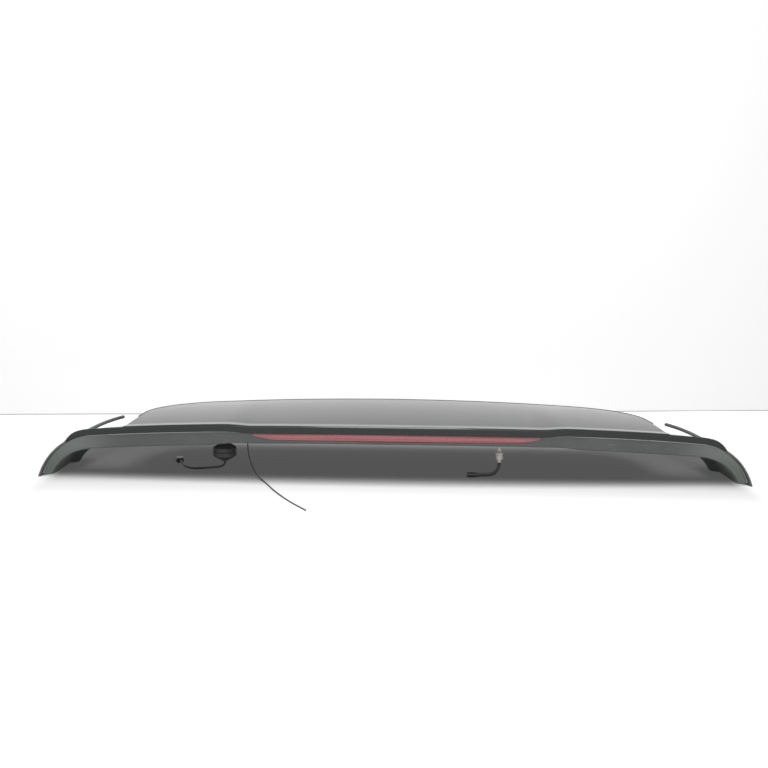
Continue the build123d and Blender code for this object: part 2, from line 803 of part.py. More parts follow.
def make_lower(lamp_room):
    """Lower shell: lip, underside, ears and front flange in one moulding, with seats and lamp opening."""
    shell = loft([lower_profile(s) for s in arch_stations(FLOOR_ANGLE + 5, 5)])
    shell = shell & plan_block(lower_plan())
    shell = shell + closing_walls()
    bosses = [boss(*seat) for seat in seats()]
    shell = shell + [solid for solid, _, _ in bosses]
    shell = shell + lamp_bosses()
    shell = shell - [hole for _, hole, _ in bosses if hole]
    shell = shell - lamp_room
    shell = shell - [tip_notch(side) for side in (-1, 1)]
    shell = shell - lamp_screw_holes()
    shell = shell - fin_screw_holes()
    return shell - below_floor()


def fin_stations():
    start = END_ANGLE + degrees(FIN_TOP_GAP / EAR_RADIUS)
    end = FLOOR_ANGLE + 5
    steps = 5
    return [ear_station(1, start + (end - start) * i / steps) for i in range(steps + 1)]


def make_fin():
    """Right side fin: thin blade over the ear's outer side, with a slim horn that reaches forward."""
    faces = []
    for station in fin_stations():
        front = station.reach(fore(EAR_DEPTH + FIN_LAP))
        faces.append(closed_face([
            station.at(-FIN_TAIL, FIN_GAP),
            station.at(front, FIN_GAP),
            station.at(front, FIN_GAP + FIN_THICKNESS),
            station.at(-FIN_TAIL, FIN_GAP + FIN_THICKNESS),
        ]))
    blade = loft(faces)
    height = 200.0
    front = fore(EAR_DEPTH + FIN_LAP)
    side = Pos(front, 0) * Rectangle(FAR, height, align=(Align.MAX, Align.MIN))
    corner = side.vertices().sort_by(Axis.X)[-2:].sort_by(Axis.Y)[0]
    side = fillet(corner, FIN_CORNER_R)
    blade = blade & extrude(Plane.YZ * side, FAR, both=True)
    root_station = ear_station(1, HORN_ROOT_ANGLE)
    root = root_station.at(root_station.reach(fore(HORN_ROOT_Y)), FIN_GAP + FIN_THICKNESS / 2)
    end = Vector(HORN_END[0], fore(HORN_END[1]), HORN_END[2])
    middle = (root + end) * 0.5 + Vector(HORN_BOW, 0, HORN_BOW)
    path = ThreePointArc(root, middle, end)
    horn = sweep(Plane(path @ 0, z_dir=path % 0) * Circle(HORN_R), path)
    horn = horn + Pos(end) * Sphere(HORN_R)
    fin = blade + horn - fin_screw_holes()
    return fin - below_floor()


def fin_screw_places():
    """Planes on the outer face of the fins, one for each screw."""
    places = []
    for side in (-1, 1):
        for angle in FIN_SCREW_ANGLES:
            station = ear_station(side, angle)
            out = Vector(sin(station.tilt), 0, cos(station.tilt))
            places.append(Plane(station.at(FIN_SCREW_Y, FIN_GAP + FIN_THICKNESS), z_dir=out))
    return places


def fin_screw_holes():
    bore = Cylinder(FIN_SCREW_R + PUSH_CLEARANCE, 30)
    return [place * bore for place in fin_screw_places()]


def make_fin_screws():
    """Pan head screws through each fin into the flange on the ear's outer side."""
    screws = []
    for place in fin_screw_places():
        head = Cylinder(FIN_SCREW_HEAD_R, FIN_SCREW_HEAD, align=(Align.CENTER, Align.CENTER, Align.MIN))
        head = fillet(head.edges().sort_by(Axis.Z)[-1], FIN_SCREW_HEAD * 0.6)
        shank = Cylinder(FIN_SCREW_R, FIN_SCREW_DEPTH, align=(Align.CENTER, Align.CENTER, Align.MAX))
        screws.append(place * (head + shank))
    return screws


def seal_profile(station):
    """Strip along the edge of the top panel, a little lower than its face."""
    front = station.reach(fore(PANEL_DEPTH + 20))
    rear = station.reach(bar_front())

    def under(forward, depth):
        return station.at(forward, panel_rise(station, station.edge + forward) - depth)

    middle = (front + rear) / 2
    high = UPPER_WALL * 0.15
    low = high + SEAL_HEIGHT
    return make_face([
        ThreePointArc(under(rear, high), under(middle, high), under(front, high)),
        Line(under(front, high), under(front, low)),
        ThreePointArc(under(front, low), under(middle, low), under(rear, low)),
        Line(under(rear, low), under(rear, high)),
    ])


def make_seal():
    """Rubber seal round the front and sides of the top panel."""
    strip = loft([seal_profile(s) for s in level_stations(EAR_START)])
    ring = panel_plan(-SEAL_WIDTH) - panel_plan(0)
    start = bar_front() + SLOT_CORNER_R + 2
    room = Pos(0, start) * Rectangle(FAR, FAR, align=(Align.CENTER, Align.MIN))
    return strip & plan_block(ring & room)


def lug_places():
    """Lamp lugs: x, y and height of the flat seat on the lower shell's inner side."""
    places = []
    for x in (-LUG_X, LUG_X):
        y = trailing_edge(x) + LIP_SETBACK + LIP_LEAN + HOUSING_BACK + LUG_LENGTH / 2
        places.append((x, y, underside_height(x, y) + LOWER_WALL + LUG_BOSS_RISE))
    return places


def lamp_bosses():
    """Small bosses inside the lower shell that the lamp's lugs are screwed to."""
    rise = LUG_BOSS_RISE + LOWER_WALL / 2
    pillar = Cylinder(LUG_BOSS_R, rise, align=(Align.CENTER, Align.CENTER, Align.MAX))
    return [Pos(x, y, z) * pillar for x, y, z in lug_places()]


def lamp_screw_holes():
    """Blind holes in the lamp's bosses."""
    bore = Cylinder(LAMP_SCREW_R + PUSH_CLEARANCE, 2 * (LAMP_SCREW_DEPTH - LUG_THICKNESS) + 1)
    return [Pos(x, y, z) * bore for x, y, z in lug_places()]


def lamp_lugs():
    """Lugs that reach back from the housing to their bosses, with screw holes."""
    lugs = []
    for x, y, z in lug_places():
        reach = LUG_LENGTH + LUG_BOSS_R
        plate = Box(LUG_WIDTH, reach, LUG_THICKNESS, align=(Align.CENTER, Align.MAX, Align.MIN))
        plate = Pos(x, y + LUG_BOSS_R, z) * plate
        lugs.append(plate - Pos(x, y, z) * Cylinder(LAMP_SCREW_R + PUSH_CLEARANCE, 4 * LUG_THICKNESS))
    return lugs


def make_lamp_screws():
    screws = []
    for x, y, z in lug_places():
        top = z + LUG_THICKNESS
        screws.append(turned(x, y, top, [
            (0, LAMP_SCREW_HEAD),
            (LAMP_SCREW_HEAD_R * 0.7, LAMP_SCREW_HEAD),
            (LAMP_SCREW_HEAD_R, LAMP_SCREW_HEAD * 0.5),
            (LAMP_SCREW_HEAD_R, 0),
            (LAMP_SCREW_R, 0),
            (LAMP_SCREW_R, -LAMP_SCREW_DEPTH),
            (0, -LAMP_SCREW_DEPTH),
        ]))
    return screws


def make_studs():
    """Threaded studs with a round collar and a plain shoulder, pressed down through their bosses."""
    studs = []
    for x, y in STUDS:
        seat = boss(x, y, STUD_BOSS_R)[2]
        studs.append(turned(x, y, seat, [
            (0, BOSS_HEIGHT + STUD_COLLAR),
            (STUD_COLLAR_R, BOSS_HEIGHT + STUD_COLLAR),
            (STUD_COLLAR_R, BOSS_HEIGHT),
            (STUD_SHOULDER_R, BOSS_HEIGHT),
            (STUD_SHOULDER_R, -STUD_SHOULDER),
            (STUD_R, -STUD_SHOULDER),
            (STUD_R, 1 - STUD_LENGTH),
            (STUD_R - 1, -STUD_LENGTH),
            (0, -STUD_LENGTH),
        ]))
    return studs


def make_stud_seals():
    """Foam rings that seal the holes in the tailgate."""
    bore = STUD_SHOULDER_R + FOAM_BORE_GAP
    ring = [(bore, 0), (FOAM_R, 0), (FOAM_R, -FOAM_THICKNESS), (bore, -FOAM_THICKNESS)]
    return [turned(x, y, boss(x, y, STUD_BOSS_R)[2], ring) for x, y in STUDS]


def make_pegs():
    """Plain pegs that place the spoiler on the tailgate, pushed up into their bosses."""
    return [
        turned(x, y, boss(x, y, PEG_BOSS_R)[2], [
            (0, PEG_STEM),
            (PEG_STEM_R, PEG_STEM),
            (PEG_STEM_R, 0),
            (PEG_FLANGE_R, 0),
            (PEG_FLANGE_R, -PEG_FLANGE),
            (PEG_R, -PEG_FLANGE),
            (PEG_R, PEG_TAPER - PEG_LENGTH),
            (PEG_TIP_R, -PEG_LENGTH),
            (0, -PEG_LENGTH),
        ])
        for x, y in PEGS
    ]


def make_buffers():
    """Rubber buffers near the sides of the panel."""
    return [
        turned(x, y, boss(x, y, BUFFER_BOSS_R)[2], [
            (0, BUFFER_STEM),
            (BUFFER_STEM_R, BUFFER_STEM),
            (BUFFER_STEM_R, 0),
            (BUFFER_R, 0),
            (BUFFER_R, -BUFFER_HEIGHT * 0.6),
            (BUFFER_R * 0.6, -BUFFER_HEIGHT),
            (0, -BUFFER_HEIGHT),
        ])
        for x, y in BUFFERS
    ]


BOOT_LENGTH = BOOT_FLANGE + BOOT_NECK + BOOT_SHOULDER + BOOT_RIM + BOOT_TAPER


def make_boot():
    """Rubber boot on the lamp's lead: narrow neck, and below it the grooved rim for the tailgate's hole."""
    neck = BOOT_FLANGE + BOOT_NECK
    rim = neck + BOOT_SHOULDER
    groove = rim + BOOT_RIM * 0.4
    return turned(*BOOT, boss(*BOOT, BOOT_BOSS_R)[2], [
        (0, 0),
        (BOOT_FLANGE_R, 0),
        (BOOT_FLANGE_R, -BOOT_FLANGE),
        (BOOT_NECK_R, -BOOT_FLANGE),
        (BOOT_NECK_R, -neck),
        (BOOT_R, -rim),
        (BOOT_R, -groove),
        (BOOT_R - BOOT_GROOVE, -groove),
        (BOOT_R - BOOT_GROOVE, -groove - BOOT_GROOVE),
        (BOOT_R, -groove - BOOT_GROOVE),
        (BOOT_R, -rim - BOOT_RIM),
        (BOOT_OUTLET_R, -BOOT_LENGTH),
        (0, -BOOT_LENGTH),
    ])


def make_bush(place, boss_r, radius, tip_r):
    """Small tapered rubber bush under the lower shell."""
    return turned(*place, boss(*place, boss_r)[2], [
        (0, 0),
        (radius, 0),
        (radius, -BUSH_HEIGHT * 0.4),
        (tip_r, -BUSH_HEIGHT),
        (0, -BUSH_HEIGHT),
    ])


def make_valve():
    """Valve in the washer hose: thin neck above and a short tail below."""
    body = VALVE_NECK + VALVE_LENGTH
    return turned(*HOSE, boss(*HOSE, HOSE_BOSS_R)[2] - BUSH_HEIGHT, [
        (0, 0),
        (VALVE_NECK_R, 0),
        (VALVE_NECK_R, -VALVE_NECK),
        (VALVE_R, -VALVE_NECK - VALVE_TAPER),
        (VALVE_R, VALVE_TAPER - body),
        (VALVE_NECK_R, -body),
        (VALVE_NECK_R, -body - VALVE_TAIL),
        (0, -body - VALVE_TAIL),
    ])


def placed(point):
    """Route point whose Y is measured forward of the trailing edge."""
    return Vector(point[0], fore(point[1]), point[2])


def make_cord(name, start, route, end, diameter):
    """Round cord along straight runs joined by the largest tangent arcs that the runs leave room for."""
    points = [start] + [placed(p) for p in route] + [placed(end)]
    radii = []
    for a, b, c in zip(points, points[1:], points[2:]):
        turn = (b - a).get_angle(c - b)
        radii.append(0.45 * min((b - a).length, (c - b).length) / tan(radians(turn) / 2))
    path = FilletPolyline(*points, radius=radii)
    cord = sweep(Plane(path @ 0, z_dir=path % 0) * Circle(diameter / 2), path)
    share = cord.volume / (Circle(diameter / 2).area * path.length)
    print(name, "length %.1f" % path.length, "volume share %.4f" % share, "radii", [round(r, 1) for r in radii])
    return cord


def make_lead():
    start = Vector(*BOOT, boss(*BOOT, BOOT_BOSS_R)[2] - BOOT_LENGTH)
    return make_cord("lamp_lead", start, LEAD_ROUTE, LEAD_END, LEAD_DIAMETER)


def make_plug():
    """Small plug that lies on the floor in line with the end of its lead."""
    end = placed(LEAD_END)
    along = end - placed(LEAD_ROUTE[-1])
    along = Vector(along.X, along.Y, 0).normalized()
    place = Plane(end, x_dir=along, z_dir=(0, 0, 1))
    neck = Rot(0, 90, 0) * Cylinder(PLUG_NECK_R, PLUG_NECK, align=(Align.CENTER, Align.CENTER, Align.MIN))
    body = Box(PLUG_LENGTH - PLUG_NECK, PLUG_WIDTH, PLUG_HEIGHT, align=(Align.MIN, Align.CENTER, Align.CENTER))
    body = fillet(body.edges().filter_by(Axis.X), PLUG_EDGE_R)
    return place * (neck + Pos(PLUG_NECK, 0, 0) * body)


def make_wire():
    start = Vector(*BUSH, boss(*BUSH, BUSH_BOSS_R)[2] - BUSH_HEIGHT)
    return make_cord("aerial_wire", start, WIRE_ROUTE, WIRE_END, WIRE_DIAMETER)


def make_hose():
    tail = BUSH_HEIGHT + VALVE_NECK + VALVE_LENGTH + VALVE_TAIL
    start = Vector(*HOSE, boss(*HOSE, HOSE_BOSS_R)[2] - tail)
    return make_cord("washer_hose", start, HOSE_ROUTE, HOSE_END, HOSE_DIAMETER)


def make_coupling():
    """Round coupling on the end of the washer hose, lying on the floor."""
    end = placed(HOSE_END)
    along = end - placed(HOSE_ROUTE[-1])
    along = Vector(along.X, along.Y, 0).normalized()
    outline = [
        (0, 0),
        (COUPLING_COLLAR_R, 0),
        (COUPLING_COLLAR_R, COUPLING_COLLAR),
        (COUPLING_R, COUPLING_COLLAR),
        (COUPLING_R, COUPLING_LENGTH),
        (0, COUPLING_LENGTH),
    ]
    return Plane(end, z_dir=along) * turned(0, 0, 0, outline)


def main():
    lens, gasket, housing, board, board_face = make_lamp()
    room_outline = lens_outline(LENS_CLEARANCE, LENS_CLEARANCE, LENS_TOP_GAP + 1)
    clear = HOUSING_CLEARANCE
    pocket_outline = lens_outline(GASKET_LAP + clear, GASKET_LAP_LOW + clear, LENS_TOP_GAP + 1)
    lamp_room = [
        lip_layer(-5, HOUSING_BACK + clear, LAYER_HALF) & lamp_block(room_outline),
        lip_layer(GASKET_SEAT, HOUSING_BACK + clear, LAYER_HALF) & lamp_block(pocket_outline),
    ]
    right_fin = make_fin()
    pieces = {
        "upper_shell": make_upper(),
        "lower_shell": make_lower(lamp_room),
        "right_side_fin": right_fin,
        "left_side_fin": mirror(right_fin, about=Plane.YZ),
        "lamp_lens": lens,
        "lamp_gasket": gasket,
        "lamp_housing": housing + lamp_lugs(),
        "lamp_circuit_board": board,
        "lamp_leds": make_leds(board_face),
        "lamp_screws": make_lamp_screws(),
        "panel_edge_seal": make_seal(),
        "mounting_studs": make_studs(),
        "stud_seals": make_stud_seals(),
        "locating_pegs": make_pegs(),
        "rubber_buffers": make_buffers(),
        "fin_screws": make_fin_screws(),
        "wiring_boot": make_boot(),
        "lamp_lead": make_lead(),
        "lamp_plug": make_plug(),
        "aerial_bush": make_bush(BUSH, BUSH_BOSS_R, BUSH_R, BUSH_TIP_R),
        "aerial_wire": make_wire(),
        "hose_bush": make_bush(HOSE, HOSE_BOSS_R, HOSE_BUSH_R, HOSE_BUSH_TIP_R),
        "washer_valve": make_valve(),
        "washer_hose": make_hose(),
        "hose_coupling": make_coupling(),
    }
    os.makedirs("parts", exist_ok=True)
    for name, piece in pieces.items():
        solids = piece if isinstance(piece, list) else [piece]
        export_step(Compound(children=solids) if len(solids) > 1 else solids[0], f"parts/{name}.step")


main()
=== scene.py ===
# %% [markdown]
# # A car's roof spoiler, dressed in Blender
#
# The spoiler is a gloss black top panel bonded to a dark satin underside, with a long red brake
# lamp in its rear lip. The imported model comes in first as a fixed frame, in metres, and every
# surface made below is laid over it.

# %% Load the frame
import bpy
import bmesh
import numpy as np
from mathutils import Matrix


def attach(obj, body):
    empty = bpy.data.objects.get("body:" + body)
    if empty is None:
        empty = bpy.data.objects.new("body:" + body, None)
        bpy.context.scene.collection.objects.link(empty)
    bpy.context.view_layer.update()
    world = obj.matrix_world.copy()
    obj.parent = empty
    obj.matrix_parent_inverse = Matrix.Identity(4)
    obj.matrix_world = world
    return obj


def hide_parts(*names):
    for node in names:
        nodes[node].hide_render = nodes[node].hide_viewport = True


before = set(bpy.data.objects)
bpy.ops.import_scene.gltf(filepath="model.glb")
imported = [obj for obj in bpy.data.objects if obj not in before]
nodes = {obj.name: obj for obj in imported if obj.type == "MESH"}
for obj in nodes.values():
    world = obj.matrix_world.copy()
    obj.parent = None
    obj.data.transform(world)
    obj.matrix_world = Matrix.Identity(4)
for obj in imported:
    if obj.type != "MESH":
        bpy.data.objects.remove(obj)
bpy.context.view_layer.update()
print("nodes:", len(nodes))

# %% [markdown]
# ## The camera
#
# The photograph was taken from behind, a little above the spoiler and a little to the left of its
# middle, with the camera dipped by about seven degrees and rolled by less than one. A camera that
# is aimed by plain angles keeps those facts readable, so no tracking constraint is needed. Euler
# angles in ZXY order turn the camera about its own view line first, then dip it.

# %% Camera
IMAGE_SIDE = 768
FOCAL_PIXELS = 770.0
DIP = np.radians(7.326)
ROLL = np.radians(0.8175)


def put(name, data):
    """Object of this name, linked into the scene at the origin."""
    thing = bpy.data.objects.new(name, data)
    bpy.context.scene.collection.objects.link(thing)
    return thing


view = bpy.data.cameras.new("photo_camera")
view.sensor_width = 36.0
view.lens = view.sensor_width * FOCAL_PIXELS / IMAGE_SIDE
camera = put("photo_camera", view)
camera.rotation_mode = "ZXY"
camera.rotation_euler = (np.pi / 2 - DIP, 0.0, ROLL)
camera.location = (-0.02149, -1.34416, 0.32837)
bpy.context.scene.camera = camera
bpy.context.scene.view_settings.view_transform = "Standard"
print("lens %.2f mm" % view.lens)

# %% [markdown]
# ## Finishes that several pieces share
#
# Real plastic is never one flat colour. Three effects are used again and again here: a fine
# moulded grain, a thin film of dust that gathers on upward faces, and small rubbed marks. Each is a
# node group that is built once. A group only hands out values and colours, and every material keeps
# its own shader, so the finishes can still be exported one by one.

# %% Node groups
def new_group(name, inputs, outputs):
    """Empty shader group with named sockets: inputs and outputs are (name, kind, default)."""
    group = bpy.data.node_groups.new(name, "ShaderNodeTree")
    for label, kind, default in inputs:
        socket = group.interface.new_socket(name=label, in_out="INPUT", socket_type=kind)
        socket.default_value = default
    for label, kind in outputs:
        group.interface.new_socket(name=label, in_out="OUTPUT", socket_type=kind)
    entry = group.nodes.new("NodeGroupInput")
    leave = group.nodes.new("NodeGroupOutput")
    return group, entry, leave


def add_node(tree, kind, **settings):
    """Node of this kind, with its own settings set by name."""
    node = tree.nodes.new(kind)
    for key, value in settings.items():
        setattr(node, key, value)
    return node


def wire(tree, source, target):
    """Link from an output socket to an input socket."""
    tree.links.new(source, target)


def feed(tree, value, socket):
    """Socket fed by another socket through a link, or set to a value of its own."""
    if isinstance(value, bpy.types.NodeSocket):
        wire(tree, value, socket)
    else:
        socket.default_value = value


def math_node(tree, operation, first, second=0.0):
    """Math node on two inputs, each a socket or a number."""
    node = add_node(tree, "ShaderNodeMath", operation=operation)
    feed(tree, first, node.inputs[0])
    feed(tree, second, node.inputs[1])
    return node.outputs[0]


def times(tree, first, second):
    """Product of two inputs, each a socket or a number."""
    return math_node(tree, "MULTIPLY", first, second)


def noise(tree, vector, scale, detail=2.0, roughness=0.5):
    """Noise over a vector, scaled by a number or a socket."""
    node = add_node(tree, "ShaderNodeTexNoise")
    wire(tree, vector, node.inputs["Vector"])
    feed(tree, scale, node.inputs["Scale"])
    node.inputs["Detail"].default_value = detail
    node.inputs["Roughness"].default_value = roughness
    return node.outputs["Fac"]


def spread(tree, value, low, high, to_low, to_high, way="LINEAR"):
    """Map Range with clamping, from a low and high of the value to two new ends."""
    node = add_node(tree, "ShaderNodeMapRange", interpolation_type=way)
    wire(tree, value, node.inputs["Value"])
    for label, number in zip(("From Min", "From Max", "To Min", "To Max"), (low, high, to_low, to_high)):
        feed(tree, number, node.inputs[label])
    return node.outputs["Result"]


def axes_of(tree, vector):
    """X, Y and Z of a vector, as three sockets."""
    split = add_node(tree, "ShaderNodeSeparateXYZ")
    wire(tree, vector, split.inputs["Vector"])
    return tuple(split.outputs)


def object_at(tree):
    """Object coordinates, as a socket."""
    return add_node(tree, "ShaderNodeTexCoord").outputs["Object"]


def grain_group():
    """Moulded grain: fine cells broken by a second noise, as a height and as a slight shade."""
    group, entry, leave = new_group(
        "moulded_grain",
        [("Vector", "NodeSocketVector", (0, 0, 0)), ("Scale", "NodeSocketFloat", 900.0)],
        [("Height", "NodeSocketFloat"), ("Shade", "NodeSocketFloat")],
    )
    cells = add_node(group, "ShaderNodeTexVoronoi", feature="SMOOTH_F1")
    wire(group, entry.outputs["Vector"], cells.inputs["Vector"])
    wire(group, entry.outputs["Scale"], cells.inputs["Scale"])
    fine = noise(group, entry.outputs["Vector"], entry.outputs["Scale"], 3.0)
    height = math_node(group, "ADD", times(group, cells.outputs["Distance"], 0.6), fine)
    wire(group, height, leave.inputs["Height"])
    broad = noise(group, entry.outputs["Vector"], 14.0, 4.0, 0.6)
    wire(group, spread(group, broad, 0.3, 0.7, 0.0, 1.0), leave.inputs["Shade"])
    return group


def dust_group():
    """Dust: more on faces that look up, thinner in patches, with separate specks."""
    group, entry, leave = new_group(
        "settled_dust",
        [
            ("Vector", "NodeSocketVector", (0, 0, 0)),
            ("Amount", "NodeSocketFloat", 0.3),
            ("Speck Scale", "NodeSocketFloat", 700.0),
        ],
        [("Mask", "NodeSocketFloat")],
    )
    facing = add_node(group, "ShaderNodeNewGeometry")
    upward = spread(group, axes_of(group, facing.outputs["Normal"])[2], 0.1, 0.95, 0.05, 1.0)
    patches = spread(group, noise(group, entry.outputs["Vector"], 9.0, 5.0, 0.6), 0.35, 0.7, 0.15, 1.0)
    dots = noise(group, entry.outputs["Vector"], entry.outputs["Speck Scale"], 1.0)
    specks = spread(group, dots, 0.66, 0.74, 0.0, 1.0)
    film = times(group, upward, patches)
    both = math_node(group, "ADD", times(group, film, 0.35), times(group, specks, film))
    wire(group, times(group, both, entry.outputs["Amount"]), leave.inputs["Mask"])
    return group


def marks_group():
    """Rubbed marks: long thin noise, stretched along X, kept only where it peaks."""
    group, entry, leave = new_group(
        "rubbed_marks",
        [("Vector", "NodeSocketVector", (0, 0, 0)), ("Amount", "NodeSocketFloat", 0.3)],
        [("Mask", "NodeSocketFloat")],
    )
    stretch = add_node(group, "ShaderNodeMapping")
    stretch.inputs["Scale"].default_value = (6.0, 90.0, 90.0)
    stretch.inputs["Rotation"].default_value = (0.0, 0.0, 0.5)
    wire(group, entry.outputs["Vector"], stretch.inputs["Vector"])
    streaks = spread(group, noise(group, stretch.outputs["Vector"], 4.0, 3.0, 0.6), 0.62, 0.7, 0.0, 1.0)
    places = spread(group, noise(group, entry.outputs["Vector"], 7.0, 2.0), 0.5, 0.65, 0.0, 1.0)
    mask = times(group, streaks, places)
    wire(group, times(group, mask, entry.outputs["Amount"]), leave.inputs["Mask"])
    return group


GRAIN = grain_group()
DUST = dust_group()
MARKS = marks_group()
print("groups:", [g.name for g in bpy.data.node_groups])

# %% [markdown]
# ## One recipe for moulded finishes
#
# Most pieces are moulded plastic or rubber, which differ in colour, gloss and grain. One function
# lays them out: the base colour varies a little in broad patches, dust and marks are mixed over it,
# and the grain goes through a Bump node. Numbers that are the same all over go on the shader itself.

# %% Moulded materials
def use_group(tree, group, vector, **values):
    """Group node fed with a vector, with the other inputs set by name."""
    node = add_node(tree, "ShaderNodeGroup", node_tree=group)
    wire(tree, vector, node.inputs["Vector"])
    for label, value in values.items():
        node.inputs[label.replace("_", " ")].default_value = value
    return node


def blend_colour(tree, mask, first, second):
    """Colour mixed from one to the other by a mask; each is a socket or a colour."""
    node = add_node(tree, "ShaderNodeMix", data_type="RGBA")
    wire(tree, mask, node.inputs["Factor"])
    for socket, value in ((node.inputs[6], first), (node.inputs[7], second)):
        feed(tree, (*value, 1.0) if isinstance(value, tuple) else value, socket)
    return node.outputs[2]


def blank_material(name):
    """New material, with its tree, its one Principled shader and its Object coordinates."""
    material = bpy.data.materials.new(name)
    material.use_nodes = True
    tree = material.node_tree
    return material, tree, tree.nodes["Principled BSDF"], object_at(tree)


def bumped(tree, shader, height, strength, distance):
    """Bump node from a height to the shader's normal; the distance is in metres."""
    bump = add_node(tree, "ShaderNodeBump")
    bump.inputs["Strength"].default_value = strength
    bump.inputs["Distance"].default_value = distance
    wire(tree, height, bump.inputs["Height"])
    wire(tree, bump.outputs["Normal"], shader.inputs["Normal"])


DUST_COLOUR = (0.42, 0.41, 0.39)


def moulded(name, dark, light, rough, grain, depth, dust, marks, rub=(0.3, 0.3, 0.3)):
    """Moulded plastic or rubber: two close shades, a grain of this scale and depth, dust and rubbed marks."""
    material, tree, shader, at = blank_material(name)
    texture = use_group(tree, GRAIN, at, Scale=grain)
    film = use_group(tree, DUST, at, Amount=dust)
    worn = use_group(tree, MARKS, at, Amount=marks)
    colour = blend_colour(tree, texture.outputs["Shade"], dark, light)
    colour = blend_colour(tree, worn.outputs["Mask"], colour, rub)
    colour = blend_colour(tree, film.outputs["Mask"], colour, DUST_COLOUR)
    wire(tree, colour, shader.inputs["Base Color"])
    gloss = spread(tree, texture.outputs["Shade"], 0.0, 1.0, rough - 0.05, rough + 0.06)
    gloss = math_node(tree, "ADD", gloss, times(tree, film.outputs["Mask"], 0.3))
    wire(tree, gloss, shader.inputs["Roughness"])
    bumped(tree, shader, texture.outputs["Height"], 0.5, depth)
    return material


SATIN = {"rough": 0.42, "grain": 1100.0, "depth": 0.00012, "dust": 0.5, "marks": 0.25}
SATIN_GREY = moulded("satin_grey_plastic", (0.062, 0.066, 0.066), (0.078, 0.083, 0.082), **SATIN)
BLACK_RUBBER = moulded("black_rubber", (0.048, 0.049, 0.049), (0.062, 0.063, 0.063), 0.62, 700.0, 0.0001, 0.5, 0.1)
BLACK_PLASTIC = moulded(
    "black_plastic", (0.042, 0.042, 0.044), (0.055, 0.055, 0.057), 0.38, 1300.0, 0.00006, 0.3, 0.2,
)
SHEATH = moulded("wire_sheath", (0.03, 0.03, 0.032), (0.042, 0.042, 0.044), 0.45, 1500.0, 0.00005, 0.3, 0.2)
FOAM = moulded("sealing_foam", (0.03, 0.03, 0.031), (0.06, 0.06, 0.061), 0.9, 420.0, 0.0005, 0.2, 0.0)
NYLON = moulded(
    "natural_nylon", (0.66, 0.65, 0.6), (0.78, 0.77, 0.72), 0.36, 900.0, 0.00004, 0.2, 0.1, rub=(0.6, 0.58, 0.52),
)
LAMP_BODY = moulded("lamp_body_plastic", (0.1, 0.012, 0.012), (0.16, 0.02, 0.02), 0.4, 900.0, 0.00006, 0.2, 0.1)
BOARD = moulded("circuit_board", (0.02, 0.09, 0.04), (0.03, 0.13, 0.06), 0.35, 1500.0, 0.00003, 0.1, 0.0)
print("moulded finishes:", len(bpy.data.materials))

# %% [markdown]
# ## The loose leads
#
# Three leads hang under the spoiler: the brake lamp's own lead, which ends in a small plug, a thin
# wire with a bare end, and a washer hose with a coupling. Each is a fixed length of something that
# bends, so it is one smooth spline through the same places as in the solid model. Straight runs
# joined by arcs would look like bent wire.

# %% Leads
REAR_Y = -128.2


def lead(name, route, diameter, finish, node):
    """Round lead on one open spline: route points are in mm, with Y forward of the trailing edge."""
    points = np.array(route, float)
    points[:, 1] += REAR_Y
    points *= 0.001
    curve = bpy.data.curves.new(name, "CURVE")
    curve.dimensions = "3D"
    curve.bevel_depth = diameter * 0.0005
    curve.bevel_resolution = 5
    curve.resolution_u = 10
    curve.use_fill_caps = True
    spline = curve.splines.new("NURBS")
    spline.points.add(len(points) - 1)
    spline.points.foreach_set("co", np.column_stack([points, np.ones(len(points))]).ravel())
    spline.order_u = 3
    spline.use_endpoint_u = True
    curve.materials.append(finish)
    piece = put(name, curve)
    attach(piece, "root")
    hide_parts(node)
    print(name, len(points), "points")
    return piece, tuple(points[0])


LEAD_ROUTE = [
    (-298.0, 104.0, 19.993), (-298.0, 104.0, 14.6), (-303.0, 104.0, 9.8), (-313.0, 104.6, 7.6),
    (-326.0, 106.2, 6.2), (-339.0, 109.0, 4.4), (-351.5, 113.0, 2.7), (-363.0, 119.5, 2.0),
    (-373.5, 129.0, 2.1), (-381.5, 141.0, 3.0), (-387.0, 152.5, 4.5), (-391.0, 161.5, 4.5),
]
WIRE_ROUTE = [
    (-254.0, 82.0, 62.054), (-254.0, 82.0, 52.0), (-253.0, 80.4, 41.6), (-250.3, 77.0, 31.0),
    (-246.0, 71.6, 21.0), (-239.8, 63.8, 12.0), (-231.5, 53.0, 5.4), (-222.5, 39.5, 2.2),
    (-213.5, 22.5, 1.3), (-204.5, 2.0, 1.2), (-193.5, -23.0, 1.2), (-180.0, -50.0, 1.2),
    (-165.0, -77.0, 1.2), (-149.0, -103.0, 1.2), (-133.0, -126.0, 1.2),
]
HOSE_ROUTE = [
    (180.0, 92.0, 26.111), (180.0, 92.0, 20.4), (178.2, 91.6, 14.6), (174.7, 90.9, 9.6),
    (169.6, 90.0, 6.2), (163.6, 89.0, 4.6), (157.4, 88.1, 4.4), (151.2, 87.6, 4.6), (145.0, 87.6, 4.6),
]

lamp_lead, lead_exit = lead("lamp_lead_sheath", LEAD_ROUTE, 3.6, SHEATH, "lamp_lead")
aerial_wire, wire_exit = lead("aerial_wire_sheath", WIRE_ROUTE, 2.2, SHEATH, "aerial_wire")
washer_hose, hose_exit = lead("washer_hose_tube", HOSE_ROUTE, 5.6, BLACK_RUBBER, "washer_hose")

# %% [markdown]
# ## Floor, wall and light
#
# The photograph is high key: a white floor and a white wall meet in a line that is hardly seen, and
# light comes softly from above. The floor and the wall show white to the camera and in reflections,
# which is what makes the black paint look grey at a shallow angle. A plain white diffuse part in the
# floor still takes the shadow under the lip. In the photograph that shadow reaches from ear to ear,
# also where the slots beside the panel would let light through, so the floor is painted darker there
# with soft edges. Far from the spoiler the floor fades to plain white, and both sheets are clear from
# behind, so that views from the front and from below see the spoiler.

